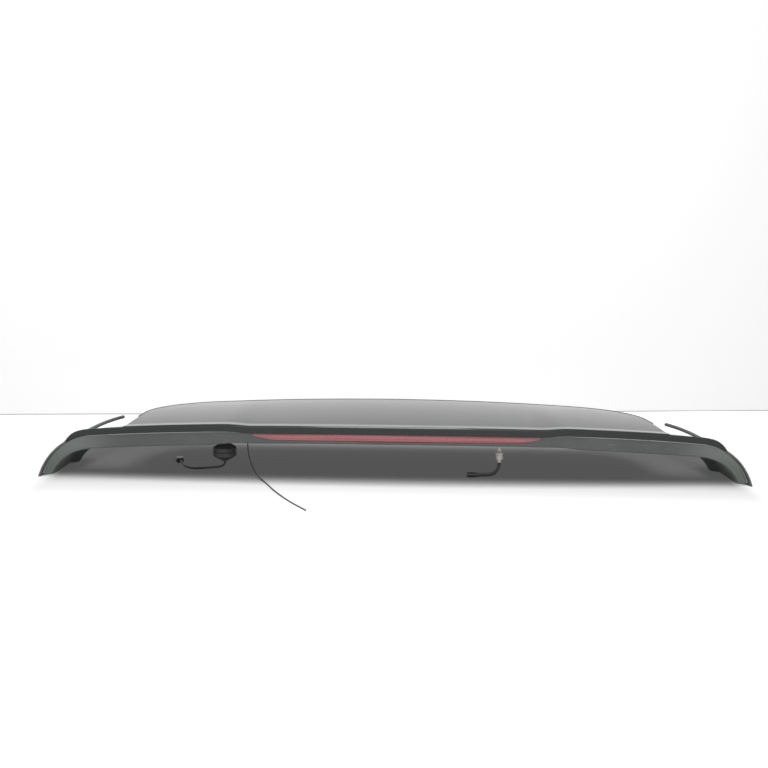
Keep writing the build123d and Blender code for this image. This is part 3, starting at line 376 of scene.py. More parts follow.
# %% Floor, wall and light
# The floor's darkest colour is painted shadow under the spoiler.
FLOOR_WHITE, FLOOR_PAINTED_SHADOW, WALL_WHITE = 0.86, 0.07, 0.4
FLOOR_GLOW, WALL_GLOW = 0.08, 0.6
ROOM_LIGHT = 0.12
WALL_Y, WALL_SLANT = 0.622, 0.118
SET_HALF, WALL_TALL = 4, 3


def stage_sheet(name, corners, finish):
    """Flat sheet of the set, from its four corners."""
    mesh = bpy.data.meshes.new(name)
    mesh.from_pydata(corners, [], [(0, 1, 2, 3)])
    mesh.materials.append(finish)
    put(name, mesh)


def seen_rays(tree):
    """1 for rays of the camera, of reflections and of views through glass, and 0 for scattered light."""
    path = add_node(tree, "ShaderNodeLightPath")
    direct = math_node(tree, "MAXIMUM", path.outputs["Is Camera Ray"], path.outputs["Is Glossy Ray"])
    return math_node(tree, "MAXIMUM", direct, path.outputs["Is Transmission Ray"])


def set_white(name, shade, glow):
    """White of the set: diffuse paint that takes shadows, a glow for views and reflections, clear from behind.

    Returns the material, its tree and the sockets of the paint's colour and of the glow's strength.
    """
    material = bpy.data.materials.new(name)
    material.use_nodes = True
    tree = material.node_tree
    tree.nodes.clear()
    leave = add_node(tree, "ShaderNodeOutputMaterial")
    paint = add_node(tree, "ShaderNodeBsdfDiffuse")
    paint.inputs["Color"].default_value = (shade, shade, shade, 1.0)
    shine = add_node(tree, "ShaderNodeEmission")
    wire(tree, times(tree, seen_rays(tree), glow), shine.inputs["Strength"])
    both = add_node(tree, "ShaderNodeAddShader")
    wire(tree, paint.outputs[0], both.inputs[0])
    wire(tree, shine.outputs[0], both.inputs[1])
    choice = add_node(tree, "ShaderNodeMixShader")
    wire(tree, add_node(tree, "ShaderNodeNewGeometry").outputs["Backfacing"], choice.inputs[0])
    wire(tree, both.outputs[0], choice.inputs[1])
    wire(tree, add_node(tree, "ShaderNodeBsdfTransparent").outputs[0], choice.inputs[2])
    wire(tree, choice.outputs[0], leave.inputs["Surface"])
    return material, tree, paint.inputs["Color"], shine.inputs["Strength"]


def smooth_range(tree, value, low, high):
    """Smooth step of a value, from 0 at low to 1 at high; with low over high it falls."""
    ends = (low, high, 0.0, 1.0) if low < high else (high, low, 1.0, 0.0)
    return spread(tree, value, *ends, "SMOOTHSTEP")


def shade_floor(tree, colour, strength):
    """Painted shadow from ear to ear, on a floor whose glow grows with the distance from the spoiler.

    The painted shadow is a product of soft steps in metres: one across, wider to the front, a steep and a slow
    one together at the rear edge, and one at the front edge.
    """
    at = object_at(tree)
    x, y, _ = axes_of(tree, at)
    forward = math_node(tree, "MAXIMUM", math_node(tree, "ADD", y, 0.07), 0.0)
    fan = math_node(tree, "MINIMUM", times(tree, forward, 0.29), 0.06)
    across = math_node(tree, "SUBTRACT", math_node(tree, "ABSOLUTE", x), fan)
    steep = times(tree, smooth_range(tree, y, -0.12, -0.03), 0.75)
    slow = times(tree, smooth_range(tree, y, -0.24, -0.1), 0.25)
    mask = times(tree, smooth_range(tree, across, 0.605, 0.565), math_node(tree, "ADD", steep, slow))
    mask = times(tree, mask, smooth_range(tree, y, 0.36, 0.17))
    # Painted shadow: the floor's colour goes from white to dark under the spoiler by this mask.
    wire(tree, blend_colour(tree, mask, (FLOOR_WHITE,) * 3, (FLOOR_PAINTED_SHADOW,) * 3), colour)
    reach = add_node(tree, "ShaderNodeVectorMath", operation="LENGTH")
    wire(tree, at, reach.inputs[0])
    far = spread(tree, smooth_range(tree, reach.outputs["Value"], 0.6, 1.2), 0.0, 1.0, 1.0, 12.0)
    wire(tree, times(tree, strength.links[0].from_socket, far), strength)


def paint_shade_at_wall_foot(tree, strength):
    """Painted shadow line where wall and floor meet: the glow drops over the lowest 3 mm."""
    z = axes_of(tree, object_at(tree))[2]
    fade = spread(tree, z, 0.0025, 0.0035, 0.25, 1.0)
    wire(tree, times(tree, strength.links[0].from_socket, fade), strength)


def area_light(name, width, depth, power, spot, tilt):
    """Rectangular light at a spot, tipped to shine forward by a tilt in degrees."""
    light = bpy.data.lights.new(name, "AREA")
    light.shape = "RECTANGLE"
    light.size, light.size_y, light.energy = width, depth, power
    lamp = put(name, light)
    lamp.location = spot
    lamp.rotation_euler = (np.radians(tilt), 0.0, 0.0)


floor_white, floor_tree, floor_colour, floor_strength = set_white("floor_white", FLOOR_WHITE, FLOOR_GLOW)
wall_white, wall_tree, _, wall_strength = set_white("wall_white", WALL_WHITE, WALL_GLOW)
shade_floor(floor_tree, floor_colour, floor_strength)
paint_shade_at_wall_foot(wall_tree, wall_strength)
far_left = (-SET_HALF, WALL_Y - SET_HALF * WALL_SLANT)
far_right = (SET_HALF, WALL_Y + SET_HALF * WALL_SLANT)
near_edge = [(-SET_HALF, -SET_HALF, 0), (SET_HALF, -SET_HALF, 0)]
stage_sheet("floor", [*near_edge, (*far_right, 0), (*far_left, 0)], floor_white)
stage_sheet("wall", [(*far_left, 0), (*far_right, 0), (*far_right, WALL_TALL), (*far_left, WALL_TALL)], wall_white)

world = bpy.data.worlds.new("soft_room")
world.use_nodes = True
room = world.node_tree
back = room.nodes["Background"]
back.inputs["Color"].default_value = (1.0, 1.0, 1.0, 1.0)
wire(room, spread(room, seen_rays(room), 0.0, 1.0, ROOM_LIGHT, 1.0), back.inputs["Strength"])
bpy.context.scene.world = world
area_light("ceiling_light", 0.9, 1.5, 52.0, (0.0, -0.95, 1.88), 25.0)
area_light("camera_fill", 1.8, 0.6, 9.0, (0.0, -1.9, 0.9), 66.0)
print("wall at %.2f m" % WALL_Y)

# %% [markdown]
# ## From numbers to a mesh
#
# Every piece below is a grid of points from a formula. Two grids, an outer and an inner face, make a
# moulded wall: the faces of both, and a rim along each open edge. Building the face list from index
# arrays avoids a loop over points, and a mask leaves an opening where a lamp has to look through.

# %% Mesh helpers
MM = 0.001


def skin(outer, inner, keep=None):
    """Wall between two grids: faces of both where keep is true, and a rim on each edge with one face."""
    columns, rows = outer.shape[:2]
    number = np.arange(columns * rows).reshape(columns, rows)
    if keep is None:
        keep = np.ones((columns - 1, rows - 1), bool)
    corners = np.stack([number[:-1, :-1], number[1:, :-1], number[1:, 1:], number[:-1, 1:]], -1)
    outside = corners[keep]
    inside = outside[:, ::-1] + columns * rows
    wide = np.pad(keep, 1)
    beside = (wide[1:-1, :-2], wide[2:, 1:-1], wide[1:-1, 2:], wide[:-2, 1:-1])
    rims = []
    for side, neighbour in enumerate(beside):
        open_edge = corners[keep & ~neighbour]
        start, end = open_edge[:, side], open_edge[:, (side + 1) % 4]
        rims.append(np.stack([end, start, start + columns * rows, end + columns * rows], -1))
    points = np.concatenate([outer.reshape(-1, 3), inner.reshape(-1, 3)])
    return points, np.concatenate([outside, inside, *rims])


def loop_grid(points, closed=False):
    """Faces of a grid whose second direction closes on itself, and the first too if closed."""
    columns, rows = points.shape[:2]
    number = np.arange(columns * rows).reshape(columns, rows)
    ahead = np.roll(number, -1, 0) if closed else number[1:]
    here = number if closed else number[:-1]
    quads = np.stack([here, ahead, np.roll(ahead, -1, 1), np.roll(here, -1, 1)], -1)
    return points.reshape(-1, 3), quads.reshape(-1, 4)


def join(*parts):
    """Several (points, faces) pairs as one."""
    counts = np.cumsum([0] + [len(points) for points, _ in parts[:-1]])
    faces = [faces + count for (_, faces), count in zip(parts, counts)]
    return np.concatenate([points for points, _ in parts]), np.concatenate(faces)


def piece_from(name, shape, finish, slot, replaced=(), crease=35.0, recalc=False):
    """Object at the origin from points in mm and faces, doubles merged, smooth but for its creases."""
    points, faces = shape
    mesh = bpy.data.meshes.new(name)
    mesh.from_pydata((points * MM).tolist(), [], faces.tolist())
    work = bmesh.new()
    work.from_mesh(mesh)
    bmesh.ops.remove_doubles(work, verts=work.verts, dist=2e-6)
    if recalc:
        bmesh.ops.recalc_face_normals(work, faces=work.faces)
    loose = [v for v in work.verts if not v.link_faces]
    bmesh.ops.delete(work, geom=loose, context="VERTS")
    work.to_mesh(mesh)
    work.free()
    mesh.shade_smooth()
    mesh.set_sharp_from_angle(angle=np.radians(crease))
    mesh.materials.append(finish)
    piece = put(name, mesh)
    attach(piece, "root")
    if replaced:
        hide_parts(*replaced)
    print(name, len(mesh.polygons), "faces")


def mirrored(shape):
    """Left-hand copy: X changes sign, and the faces are turned round to look outwards again."""
    points, faces = shape
    return points * np.array([-1.0, 1.0, 1.0]), faces[:, ::-1]


def pair(shape):
    """Right-hand shape and its mirror image."""
    return shape, mirrored(shape)


print("points are in units of", MM, "m")

# %% [markdown]
# ## The lines that shape the spoiler
#
# All its surfaces hang on one arch seen from behind: the joint between the two shells. It is nearly
# level over the panel, with a shallow scoop over the lamp, and then runs down an arc at each ear. A
# point is placed by how far along the arch it lies, how far forward of the trailing edge and how far
# out of the arch. The same formulas as in the solid model, on whole arrays, keep both in step.

# %% The arch
PANEL_DEPTH = 254.0
FRONT_HALF = 445.0
SIDE_REAR, SIDE_REAR_AT = 453.0, -30.0
SIDE_FLARE, SIDE_LENGTH = 8.0, 284.0
CORNER_R = 105.0
SLOT_R = 18.0
BOW, BOW_AT = 45.0, 560.0
EDGE_HEIGHT = 105.0
CROWN_DROP, CROWN_AT, CROWN_POWER = 16.0, 480.0, 2.6
SCOOP_DEPTH, SCOOP_IN, SCOOP_OUT = 3.2, 232.0, 280.0
FRONT_HEIGHT, FRONT_DROP, FRONT_DROP_AT = 112.6, 16.0, 440.0
BULGE = 4.5
FLICK_RISE, FLICK_RUN = 2.6, 26.0
BAND = 12.6
BAND_END, BAND_END_FROM, BAND_END_ROUND = 4.8, 16.0, 14.0
BAR_DEPTH, BAR_LOW = 46.0, 3.2
EDGE_R, EDGE_FROM, EDGE_RUN = 2.6, 0.41, 2.19
FOOT_FROM, FOOT_TALL = 2.0, 0.5
FACE_LEAN, FACE_LESS = 1.59, 3.1
EAR_START = 505.0
EAR_R = 110.0


def fore(distance):
    """Y at this distance forward of the middle of the trailing edge."""
    return REAR_Y + distance


def ramp(value, start, end):
    """Smooth step from 0 at start to 1 at end: 3 t squared less 2 t cubed."""
    t = np.clip((value - start) / (end - start), 0.0, 1.0)
    return t * t * (3 - 2 * t)


def seam_height(x):
    """Height of the joint: a power curve that drops outwards, less the band and the lamp's scoop."""
    x = np.abs(x)
    scoop = SCOOP_DEPTH * (1 - ramp(x, SCOOP_IN, SCOOP_OUT))
    return EDGE_HEIGHT - CROWN_DROP * (x / CROWN_AT) ** CROWN_POWER - scoop - BAND


def trailing_edge(x):
    """Y of the rear edge: a parabola bowed back in the middle."""
    return fore(BOW * (x / BOW_AT) ** 2)


EAR_SLOPE = float(np.arctan(seam_height(EAR_START - 0.5) - seam_height(EAR_START + 0.5)))
EAR_TOP = float(seam_height(EAR_START))


def floor_angle(out):
    """Angle of the ear's arc at which a surface this far out of the arch meets the floor."""
    return np.arccos((EAR_R * np.cos(EAR_SLOPE) - EAR_TOP) / (EAR_R + out))


def ear_run(angle):
    """Run along the arch at which an ear's arc has turned to this angle, in radians."""
    return EAR_START + EAR_R * (angle - EAR_SLOPE)


def station(run):
    """X, Z and tilt of the arch at a run from the middle: level out to the ear, then round its arc.

    On the ear the run past its start is the angle past the slope there, times the radius.
    """
    side = np.sign(run)
    level = np.minimum(np.abs(run), EAR_START)
    turn = EAR_SLOPE + np.maximum(np.abs(run) - EAR_START, 0.0) / EAR_R
    on_ear = np.abs(run) > EAR_START
    x = np.where(on_ear, EAR_START + EAR_R * (np.sin(turn) - np.sin(EAR_SLOPE)), level)
    z = np.where(on_ear, EAR_TOP - EAR_R * (np.cos(EAR_SLOPE) - np.cos(turn)), seam_height(level))
    lean = np.where(on_ear, turn, EAR_SLOPE * ramp(level, SIDE_REAR, EAR_START))
    return side * x, z, side * lean


def place(run, y, out):
    """Points at a run along the arch, at a Y, and this far out of the arch."""
    x, z, tilt = station(run)
    return np.stack(np.broadcast_arrays(x + out * np.sin(tilt), y, z + out * np.cos(tilt)), -1)


def edge_at(run):
    """Y of the trailing edge at a run along the arch."""
    return trailing_edge(station(run)[0])


def panel_rise(run, y):
    """Height of the top panel over the joint: a line from rear to front, plus a bulge, less a flick at the rear."""
    x = np.minimum(np.abs(station(run)[0]), EAR_START)
    front = FRONT_HEIGHT - FRONT_DROP * (x / FRONT_DROP_AT) ** 2
    rear = seam_height(x) + BAND
    share = (y - trailing_edge(x)) / (fore(PANEL_DEPTH) - trailing_edge(x))
    flick = FLICK_RISE * ramp(y - trailing_edge(x), 0.0, FLICK_RUN)
    return rear + (front - rear) * share + 4 * BULGE * share * (1 - share) - flick - seam_height(x)


def band_height(run):
    """Height of the rear band, rounded off over the last degrees of its ends."""
    past = np.clip((np.degrees(np.abs(station(run)[2])) - BAND_END_FROM) / BAND_END_ROUND, 0.0, 1.0)
    return BAND - (BAND - BAND_END) * past ** 2


def bar_rise(run, y):
    """Height of a bar over the joint: the band's at the rear, falling as a square to a low front."""
    left = np.clip(1 - (y - edge_at(run)) / BAR_DEPTH, 0.0, 1.0)
    return BAR_LOW + (band_height(run) - BAR_LOW) * left ** 2


def run_at(x, out):
    """Run along the arch whose surface this far out has this X, read back from a fine table."""
    table = np.linspace(-680.0, 680.0, 5441)
    return np.interp(x, place(table, 0.0, out)[:, 0], table)


print("ear slope %.3f degrees, ear top %.3f mm" % (np.degrees(EAR_SLOPE), EAR_TOP))

# %% [markdown]
# ## The top panel
#
# The upper shell is one painted moulding: a wide panel with round front corners, a narrow bar out to
# each ear, a band along the rear and a flange under it for the adhesive. In plan its outline is a
# path with rounded corners. Each column of the grid runs forward from the trailing edge and stops at
# that outline, so the gloss surface stays one smooth sheet, which a boolean cut would spoil.

# %% Upper shell
def rounded_path(corners, radii, step):
    """Path through corners, each cut off by an arc of its radius, with points about a step apart.

    Returns points and outward normals, which lie to the left of the way of travel.
    """
    corners = np.array(corners, float)
    pieces = []
    start = corners[0]
    for before, corner, after, radius in zip(corners, corners[1:], corners[2:], radii):
        first = (corner - before) / np.linalg.norm(corner - before)
        second = (after - corner) / np.linalg.norm(after - corner)
        turn = np.arctan2(first[0] * second[1] - first[1] * second[0], first @ second)
        cut = radius * np.tan(abs(turn) / 2)
        begin = corner - first * cut
        left = np.array([-first[1], first[0]]) * np.sign(turn)
        centre = begin + left * radius
        count = max(int(np.linalg.norm(begin - start) / step), 1)
        pieces.append(start + (begin - start) * np.linspace(0, 1, count, endpoint=False)[:, None])
        sweep = np.linspace(0, turn, max(int(abs(turn) * radius / step), 7), endpoint=False)
        spoke = begin - centre
        pieces.append(centre + np.column_stack([
            spoke[0] * np.cos(sweep) - spoke[1] * np.sin(sweep),
            spoke[0] * np.sin(sweep) + spoke[1] * np.cos(sweep),
        ]))
        start = corner + second * cut
    count = max(int(np.linalg.norm(corners[-1] - start) / step), 2)
    pieces.append(start + (corners[-1] - start) * np.linspace(0, 1, count)[:, None])
    points = np.concatenate(pieces)
    along = np.gradient(points, axis=0)
    along /= np.linalg.norm(along, axis=1)[:, None]
    return points, np.column_stack([-along[:, 1], along[:, 0]])


def both_sides(points, normals):
    """Right half of an outline, from the middle outwards, with its mirror image put before it."""
    flip = np.array([-1.0, 1.0])
    return np.concatenate([points[:0:-1] * flip, points]), np.concatenate([normals[:0:-1] * flip, normals])


END_X = 556.0
END_ANGLE = np.radians(30.0)
BAR_FRONT = float(trailing_edge(END_X)) + BAR_DEPTH
SKIRT_START, SKIRT_START_X = fore(33.0), 451.225
SKIRT_END = BAR_FRONT + SLOT_R
UPPER_WALL = 3.0
UPPER_ROLL = 1.2
STEP = 9.0


def panel_outline(inset, end_x, end_radius):
    """Outline of panel and bars, as half: front edge, round corner, side, inner corner and bar."""
    front = fore(PANEL_DEPTH) - inset
    side = FRONT_HALF + SIDE_FLARE * (fore(PANEL_DEPTH) - BAR_FRONT) / SIDE_LENGTH - inset
    half = [(0, front), (FRONT_HALF - inset, front), (side, BAR_FRONT), (end_x, BAR_FRONT), (end_x, BAR_FRONT - 60)]
    return rounded_path(half, (CORNER_R - inset, SLOT_R, end_radius), STEP)


def edged(run, y, rise, height):
    """Rows of a rear band and what follows it: foot, leaning face, round edge, then the rise over y."""
    rear = edge_at(run)
    turn = np.radians(np.linspace(0, 90, 8))[None, :-1]
    edge_y = rear + EDGE_FROM + EDGE_RUN * (1 - np.cos(turn))
    edge_out = height - EDGE_R + (rise(run, rear + EDGE_R) - height + EDGE_R) * np.sin(turn)
    foot_y = rear + np.array([[2.5, 2.15, FOOT_FROM]])
    foot_out = np.array([[0.0, 0.12, FOOT_TALL]])
    face_out = FOOT_TALL + np.linspace(0.15, 0.9, 4)[None, :] * (height - FACE_LESS)
    face_y = rear + FOOT_FROM - FACE_LEAN * (face_out - FOOT_TALL) / (height - FACE_LESS)
    return np.concatenate([
        place(run, foot_y, foot_out),
        place(run, face_y, face_out),
        place(run, edge_y, edge_out),
        place(run, y, rise(run, y)),
    ], 1)


def panel():
    """Top panel with its band, flange and rolled front edge, out to the panel's sides."""
    front = fore(PANEL_DEPTH)
    half = [(0, front), (FRONT_HALF, front), (SKIRT_START_X, SKIRT_START)]
    points, normals = both_sides(*rounded_path(half, (CORNER_R,), STEP))
    run = run_at(points[:, 0] - UPPER_ROLL * normals[:, 0], BAND)[:, None]
    tip = run_at(points[:, 0], BAND)[:, None]
    rear = edge_at(run)
    limit = np.maximum((points[:, 1] - UPPER_ROLL * normals[:, 1])[:, None], rear + 2.7)
    end_y = np.maximum(points[:, 1:], rear + 2.7)
    share = np.linspace(0.0, 1.0, 64)[None, :] ** 1.5
    y = np.minimum(rear + EDGE_R + share * (front - rear - EDGE_R), limit)
    bend = np.radians(np.array([[30.0, 60.0, 90.0]]))
    way = run + (tip - run) * np.sin(bend)
    edge_y = limit + (end_y - limit) * np.sin(bend)
    flange_y = rear + np.array([[19.0, 10.0]])
    flange = place(run, flange_y, 0.0 * run)
    rolled = place(way, edge_y, panel_rise(way, edge_y) - UPPER_ROLL * (1 - np.cos(bend)))
    outer = np.concatenate([flange, edged(run, y, panel_rise, BAND + 0.0 * run), rolled], 1)
    count = outer.shape[1] - flange_y.shape[1] - y.shape[1] - bend.shape[1]
    up = np.linspace(0.0, 1.0, count)[None, :]
    inner = np.concatenate([
        place(run, flange_y, UPPER_WALL + 0.0 * run),
        place(run, rear + 5.0 - 0.9 * up, UPPER_WALL + (BAND - 2 * UPPER_WALL) * up),
        place(run, np.maximum(y, rear + 4.1), panel_rise(run, y) - UPPER_WALL),
        place(way, edge_y, panel_rise(way, edge_y) - UPPER_WALL),
    ], 1)
    return skin(outer, inner)


def bar():
    """Right bar, solid, from the panel's side to the ear: a wedge with a round rear edge and a round end.

    Its first columns lie inside the panel and are moved in by a hair, so that no two faces coincide.
    """
    start, inner, tip = 440.0, 449.6, 16.0
    half = [(start, SKIRT_END), (inner, SKIRT_END), (inner, BAR_FRONT), (END_X, BAR_FRONT), (END_X, BAR_FRONT - 30.0)]
    points, _ = rounded_path(half, (0.01, SLOT_R, tip), 4.0)
    apart = np.append(1.0, np.linalg.norm(np.diff(points, axis=0), axis=1))
    points = points[(points[:, 1] > BAR_FRONT - tip + 0.1) & (apart > 0.3)]
    run = np.minimum(run_at(points[:, 0], 8.0), ear_run(END_ANGLE))[:, None]
    limit = points[:, 1:]
    rear = edge_at(run)
    y = np.minimum(rear + EDGE_R + np.linspace(0, 1, 26)[None, :] * 70.0, limit)
    top = edged(run, y, bar_rise, band_height(run))[:, 2:]
    top[..., 1] += np.where(points[:, :1] < inner + 0.4, 0.02, 0.0)
    low_y = np.concatenate([rear + 2.5, y], 1)
    low = place(run, low_y, 0.5 + 0.0 * low_y)
    pad = top.shape[1] - low.shape[1]
    return skin(top, np.concatenate([np.repeat(low[:, :1], pad, 1), low], 1))


def skirt():
    """Right skirt: a thin wall that closes the panel's side over the bar, up into the panel."""
    y = np.linspace(SKIRT_START, SKIRT_END, 30)[:, None]
    x = SIDE_REAR - SIDE_FLARE * (y - fore(SIDE_REAR_AT)) / SIDE_LENGTH
    run = run_at(x, 8.0)
    high = panel_rise(run, y) - 1.0
    out = 0.5 + np.linspace(0, 1, 5)[None, :] * (high - 0.5)
    outer = place(run + 0 * out, y + 0 * out, out)
    points, faces = skin(outer, outer - np.array([1.7, 0.0, 0.0]))
    return points, faces[:, ::-1]


def gloss_paint():
    """Gloss black paint: deep base, a thin clear coat, faint peel, a faint green cast in its gloss, and dust."""
    material, tree, shader, at = blank_material("gloss_black_paint")
    film = use_group(tree, DUST, at, Amount=0.16, Speck_Scale=420.0)
    worn = use_group(tree, MARKS, at, Amount=0.12)
    colour = blend_colour(tree, worn.outputs["Mask"], (0.006, 0.0065, 0.007), (0.06, 0.06, 0.06))
    colour = blend_colour(tree, film.outputs["Mask"], colour, (0.4, 0.4, 0.38))
    wire(tree, colour, shader.inputs["Base Color"])
    haze = spread(tree, noise(tree, at, 5.0, 4.0, 0.6), 0.3, 0.7, 0.07, 0.16)
    rough = math_node(tree, "ADD", haze, times(tree, film.outputs["Mask"], 0.4))
    wire(tree, rough, shader.inputs["Roughness"])
    shader.inputs["IOR"].default_value = 1.45
    shader.inputs["Specular Tint"].default_value = (0.91, 1.0, 0.94, 1.0)
    shader.inputs["Coat Weight"].default_value = 0.08
    shader.inputs["Coat Roughness"].default_value = 0.05
    bumped(tree, shader, noise(tree, at, 330.0, 1.0), 0.12, 0.0001)
    return material


PAINT = gloss_paint()
upper_shape = join(panel(), *pair(bar()), *pair(skirt()))
piece_from("upper_shell_paint", upper_shape, PAINT, "gloss_black_paint", ["upper_shell"], crease=40.0)

# %% [markdown]
# ## The underside, lip and ears
#
# The lower shell is a satin moulding that shows below the painted band as a tall lip, turns under to
# a flat underside and runs down the ears to the floor. Its section is a path carried along the same
# arch, and the wall has even thickness. The lamp looks out through a slot whose lower edge is one of
# the grid's own rows, so its curve is clean.

# %% Lower shell
WALL = 2.8
LENS_HALF = 236.0
LENS_FLAT = 190.0
LENS_TALL, LENS_END_TALL = 12.6, 1.6
LENS_GAP, MOUTH_GAP, MOUTH_LEAST = 0.5, 0.5, 2.2
LENS_SWEEP = 0.92
LIP_MIDDLE, LIP_SIDE_MORE, LIP_TIP = 19.0, 5.5, 13.0
LIP_SETBACK = 3.5
LIP_LEAN, LIP_LEAN_EAR_MORE = 8.0, 12.0
SEAM = 0.3
UNDER = -20.0
INSET = 2.0
EAR_IN_X = 541.0
EAR_FRONT = fore(168.0)
LIP_FOOT, LIP_FOOT_EAR_MORE = 15.5, 13.0
PAD_RISE = 3.0
STEP_AT, STEP_RUN, STEP_TALL = fore(150.0), 12.0, 10.0
CLIMB_AT, CLIMB_RUN = fore(214.0), 14.0
FLANGE_GAP = 3.3
NOTCH_X, NOTCH_TALL, NOTCH_SLANT, NOTCH_OVER = 598.86, 7.0, 13.0, 8.0


def ear_share(run):
    """How far down the ear a run lies, from 0 on the crown to 1 at the floor."""
    return ramp(np.abs(station(run)[2]), EAR_SLOPE, floor_angle(0.0))


def lip_height(run):
    """Height of the lip: low under the lamp, taller beside it, lowest at the tips of the ears."""
    beside = LIP_MIDDLE + LIP_SIDE_MORE * ramp(np.abs(station(run)[0]), SCOOP_IN, 320.0)
    return beside + (LIP_TIP - beside) * ear_share(run)


def lens_low(x, grow=0.0):
    """Depth of the lamp's lower edge under the joint: flat, then an arc swept up to each end."""
    middle = seam_height(0.0) - LENS_GAP - LENS_TALL
    end = seam_height(LENS_HALF) - LENS_GAP - LENS_END_TALL
    t = np.clip((np.abs(x) - LENS_FLAT) / (LENS_HALF + grow - LENS_FLAT), 0.0, 1.0)
    rise = 1 - np.sqrt(np.maximum(1 - (LENS_SWEEP * t) ** 2, 0.0))
    return seam_height(x) - (middle + (end - middle) * rise / (1 - np.sqrt(1 - LENS_SWEEP ** 2))) + grow


def lower_outline():
    """Outline of the lower shell's panel part as half, a little inside the upper shell's."""
    points, normals = panel_outline(INSET, EAR_IN_X, 0.01)
    keep = points[:, 1] > BAR_FRONT - 0.5
    return points[keep], normals[keep]


def lower_columns():
    """Runs along the arch and the Y at which each column of the lower shell stops."""
    points, _ = lower_outline()
    ear_rows = np.linspace(BAR_FRONT, EAR_FRONT, 14)
    inner_run = np.full(len(ear_rows), run_at(EAR_IN_X, UNDER))
    outer_run = np.linspace(float(inner_run[0]), ear_run(float(floor_angle(-LIP_TIP))), 16)[1:]
    mouth = run_at(np.array([LENS_HALF + MOUTH_GAP]), 0.0)
    run = np.concatenate([run_at(points[:, 0], UNDER), inner_run, outer_run, mouth])
    outer_limit = np.full(len(outer_run), EAR_FRONT)
    limit = np.concatenate([points[:, 1], ear_rows, outer_limit, [fore(PANEL_DEPTH) - INSET]])
    order = np.lexsort((limit * np.sign(run - 520.0), run))
    run, limit = run[order], limit[order]
    return np.concatenate([-run[:0:-1], run]), np.concatenate([limit[:0:-1], limit])


def under_out(run, y):
    """How far under the arch the underside lies: rising to the pads, then a step, a wall and the flange."""
    rear = edge_at(run) + LIP_FOOT + LIP_FOOT_EAR_MORE * ear_share(run)
    share = (y - rear) / (STEP_AT - rear)
    depth = lip_height(run) - PAD_RISE * np.clip(share, 0.0, 1.0)
    step = STEP_TALL * np.clip((y - STEP_AT) / STEP_RUN, 0.0, 1.0)
    climb = np.clip((y - CLIMB_AT) / CLIMB_RUN, 0.0, 1.0)
    under_panel = panel_rise(run, y) - FLANGE_GAP - WALL
    return (-depth - step) * (1 - climb) + under_panel * climb


def notch_y(z):
    """Rear limit near the tips of the ears, where the inner wall is cut back on a slant."""
    rear = float(trailing_edge(NOTCH_X))
    return np.where(z < NOTCH_TALL, rear + NOTCH_SLANT * (NOTCH_TALL - z) / NOTCH_OVER, -1e6)


def lower_grid(depth):
    """Grid of the lower shell's face, moved in by a depth through the wall."""
    run, limit = lower_columns()
    run, limit = run[:, None], limit[:, None]
    rear = edge_at(run)
    tall = lip_height(run)
    lean = LIP_LEAN + LIP_LEAN_EAR_MORE * ear_share(run)
    soft = 4.0 + ear_share(run)
    slope = lean / (tall - SEAM)
    mouth = np.clip(lens_low(station(run)[0], MOUTH_GAP), MOUTH_LEAST, None)
    lamp = 1 - ramp(np.abs(run), LENS_HALF + 0.4, LENS_HALF + 30.0)
    split = mouth * lamp + 0.4 * tall * (1 - lamp)
    down = SEAM + depth + np.linspace(0.0, 1.0, 5)[None, :] * (split - SEAM - depth)
    rest = split + np.linspace(0.0, 1.0, 7)[None, 1:] * (tall - soft - split)
    lip = np.concatenate([down, rest], 1)
    lip_y = rear + LIP_SETBACK + slope * (lip - SEAM) + depth * np.sqrt(1 + slope ** 2)
    bend = np.radians(np.linspace(0, 90, 6))[None, 1:]
    round_y = rear + LIP_SETBACK + lean - slope * soft + soft * (1 + slope) * (1 - np.cos(bend)) + depth * np.cos(bend)
    round_out = -(tall - soft) - soft * np.sin(bend) + depth * np.sin(bend)
    begin = rear + LIP_SETBACK + lean + soft
    under = begin + np.linspace(0, 1, 19)[None, 1:] * (STEP_AT - begin)
    far = fore(np.array([[
        153.0, 156.0, 159.0, 162.0, 170.0, 186.0, 202.0, 214.0, 217.5, 221.0, 224.5, 228.0, 240.0, 252.0,
    ]]))
    y = np.minimum(np.concatenate([under, far + 0 * run], 1), limit)
    flange_y = rear + np.array([[25.5, 15.0, 6.0]]) + 0 * run
    flange_out = -SEAM - depth + 0 * flange_y
    all_y = np.concatenate([flange_y, lip_y, round_y, y], 1)
    all_out = np.concatenate([flange_out, -lip, round_out, under_out(run, y) + depth], 1)
    points = place(run, all_y, all_out)
    points[..., 1] = np.maximum(points[..., 1], notch_y(points[..., 2]) + depth)
    points[..., 2] = np.maximum(points[..., 2], 0.0)
    lamp_slot = np.abs(run[:-1] + run[1:]) / 2 < LENS_HALF + MOUTH_GAP
    above = flange_y.shape[1] + down.shape[1] - 1
    keep = ~(lamp_slot & (np.arange(all_y.shape[1] - 1)[None, :] < above))
    return points, keep


def side_walls():
    """Upright walls round the panel's sides and front corners, from the underside up to the panel."""
    points, normals = both_sides(*lower_outline())
    run = run_at(points[:, 0], UNDER)
    low = under_out(run, points[:, 1])
    beside = points[:, 1] < SKIRT_END + 1.0
    high = np.maximum(np.where(beside, -0.5, panel_rise(run, points[:, 1]) - 3.5), low + 0.2)
    rows = np.linspace(0.0, 1.0, 4)[None, :]
    out = low[:, None] + (high - low)[:, None] * rows
    outer = place(run[:, None], points[:, 1:], out)
    inner = outer - np.concatenate([normals * WALL, np.zeros((len(points), 1))], 1)[:, None, :]
    return skin(outer, inner)


def turned(profile, x, y, z, count=40):
    """Profile of (radius, height) points, closed round its own loop, turned about an upright axis."""
    profile = np.array(profile, float)
    angle = np.linspace(0, 2 * np.pi, count, endpoint=False)[:, None]
    points = np.stack([
        x + profile[:, 0] * np.cos(angle),
        y + profile[:, 0] * np.sin(angle),
        z + profile[:, 1] + 0 * angle,
    ], -1)
    return loop_grid(points, closed=True)


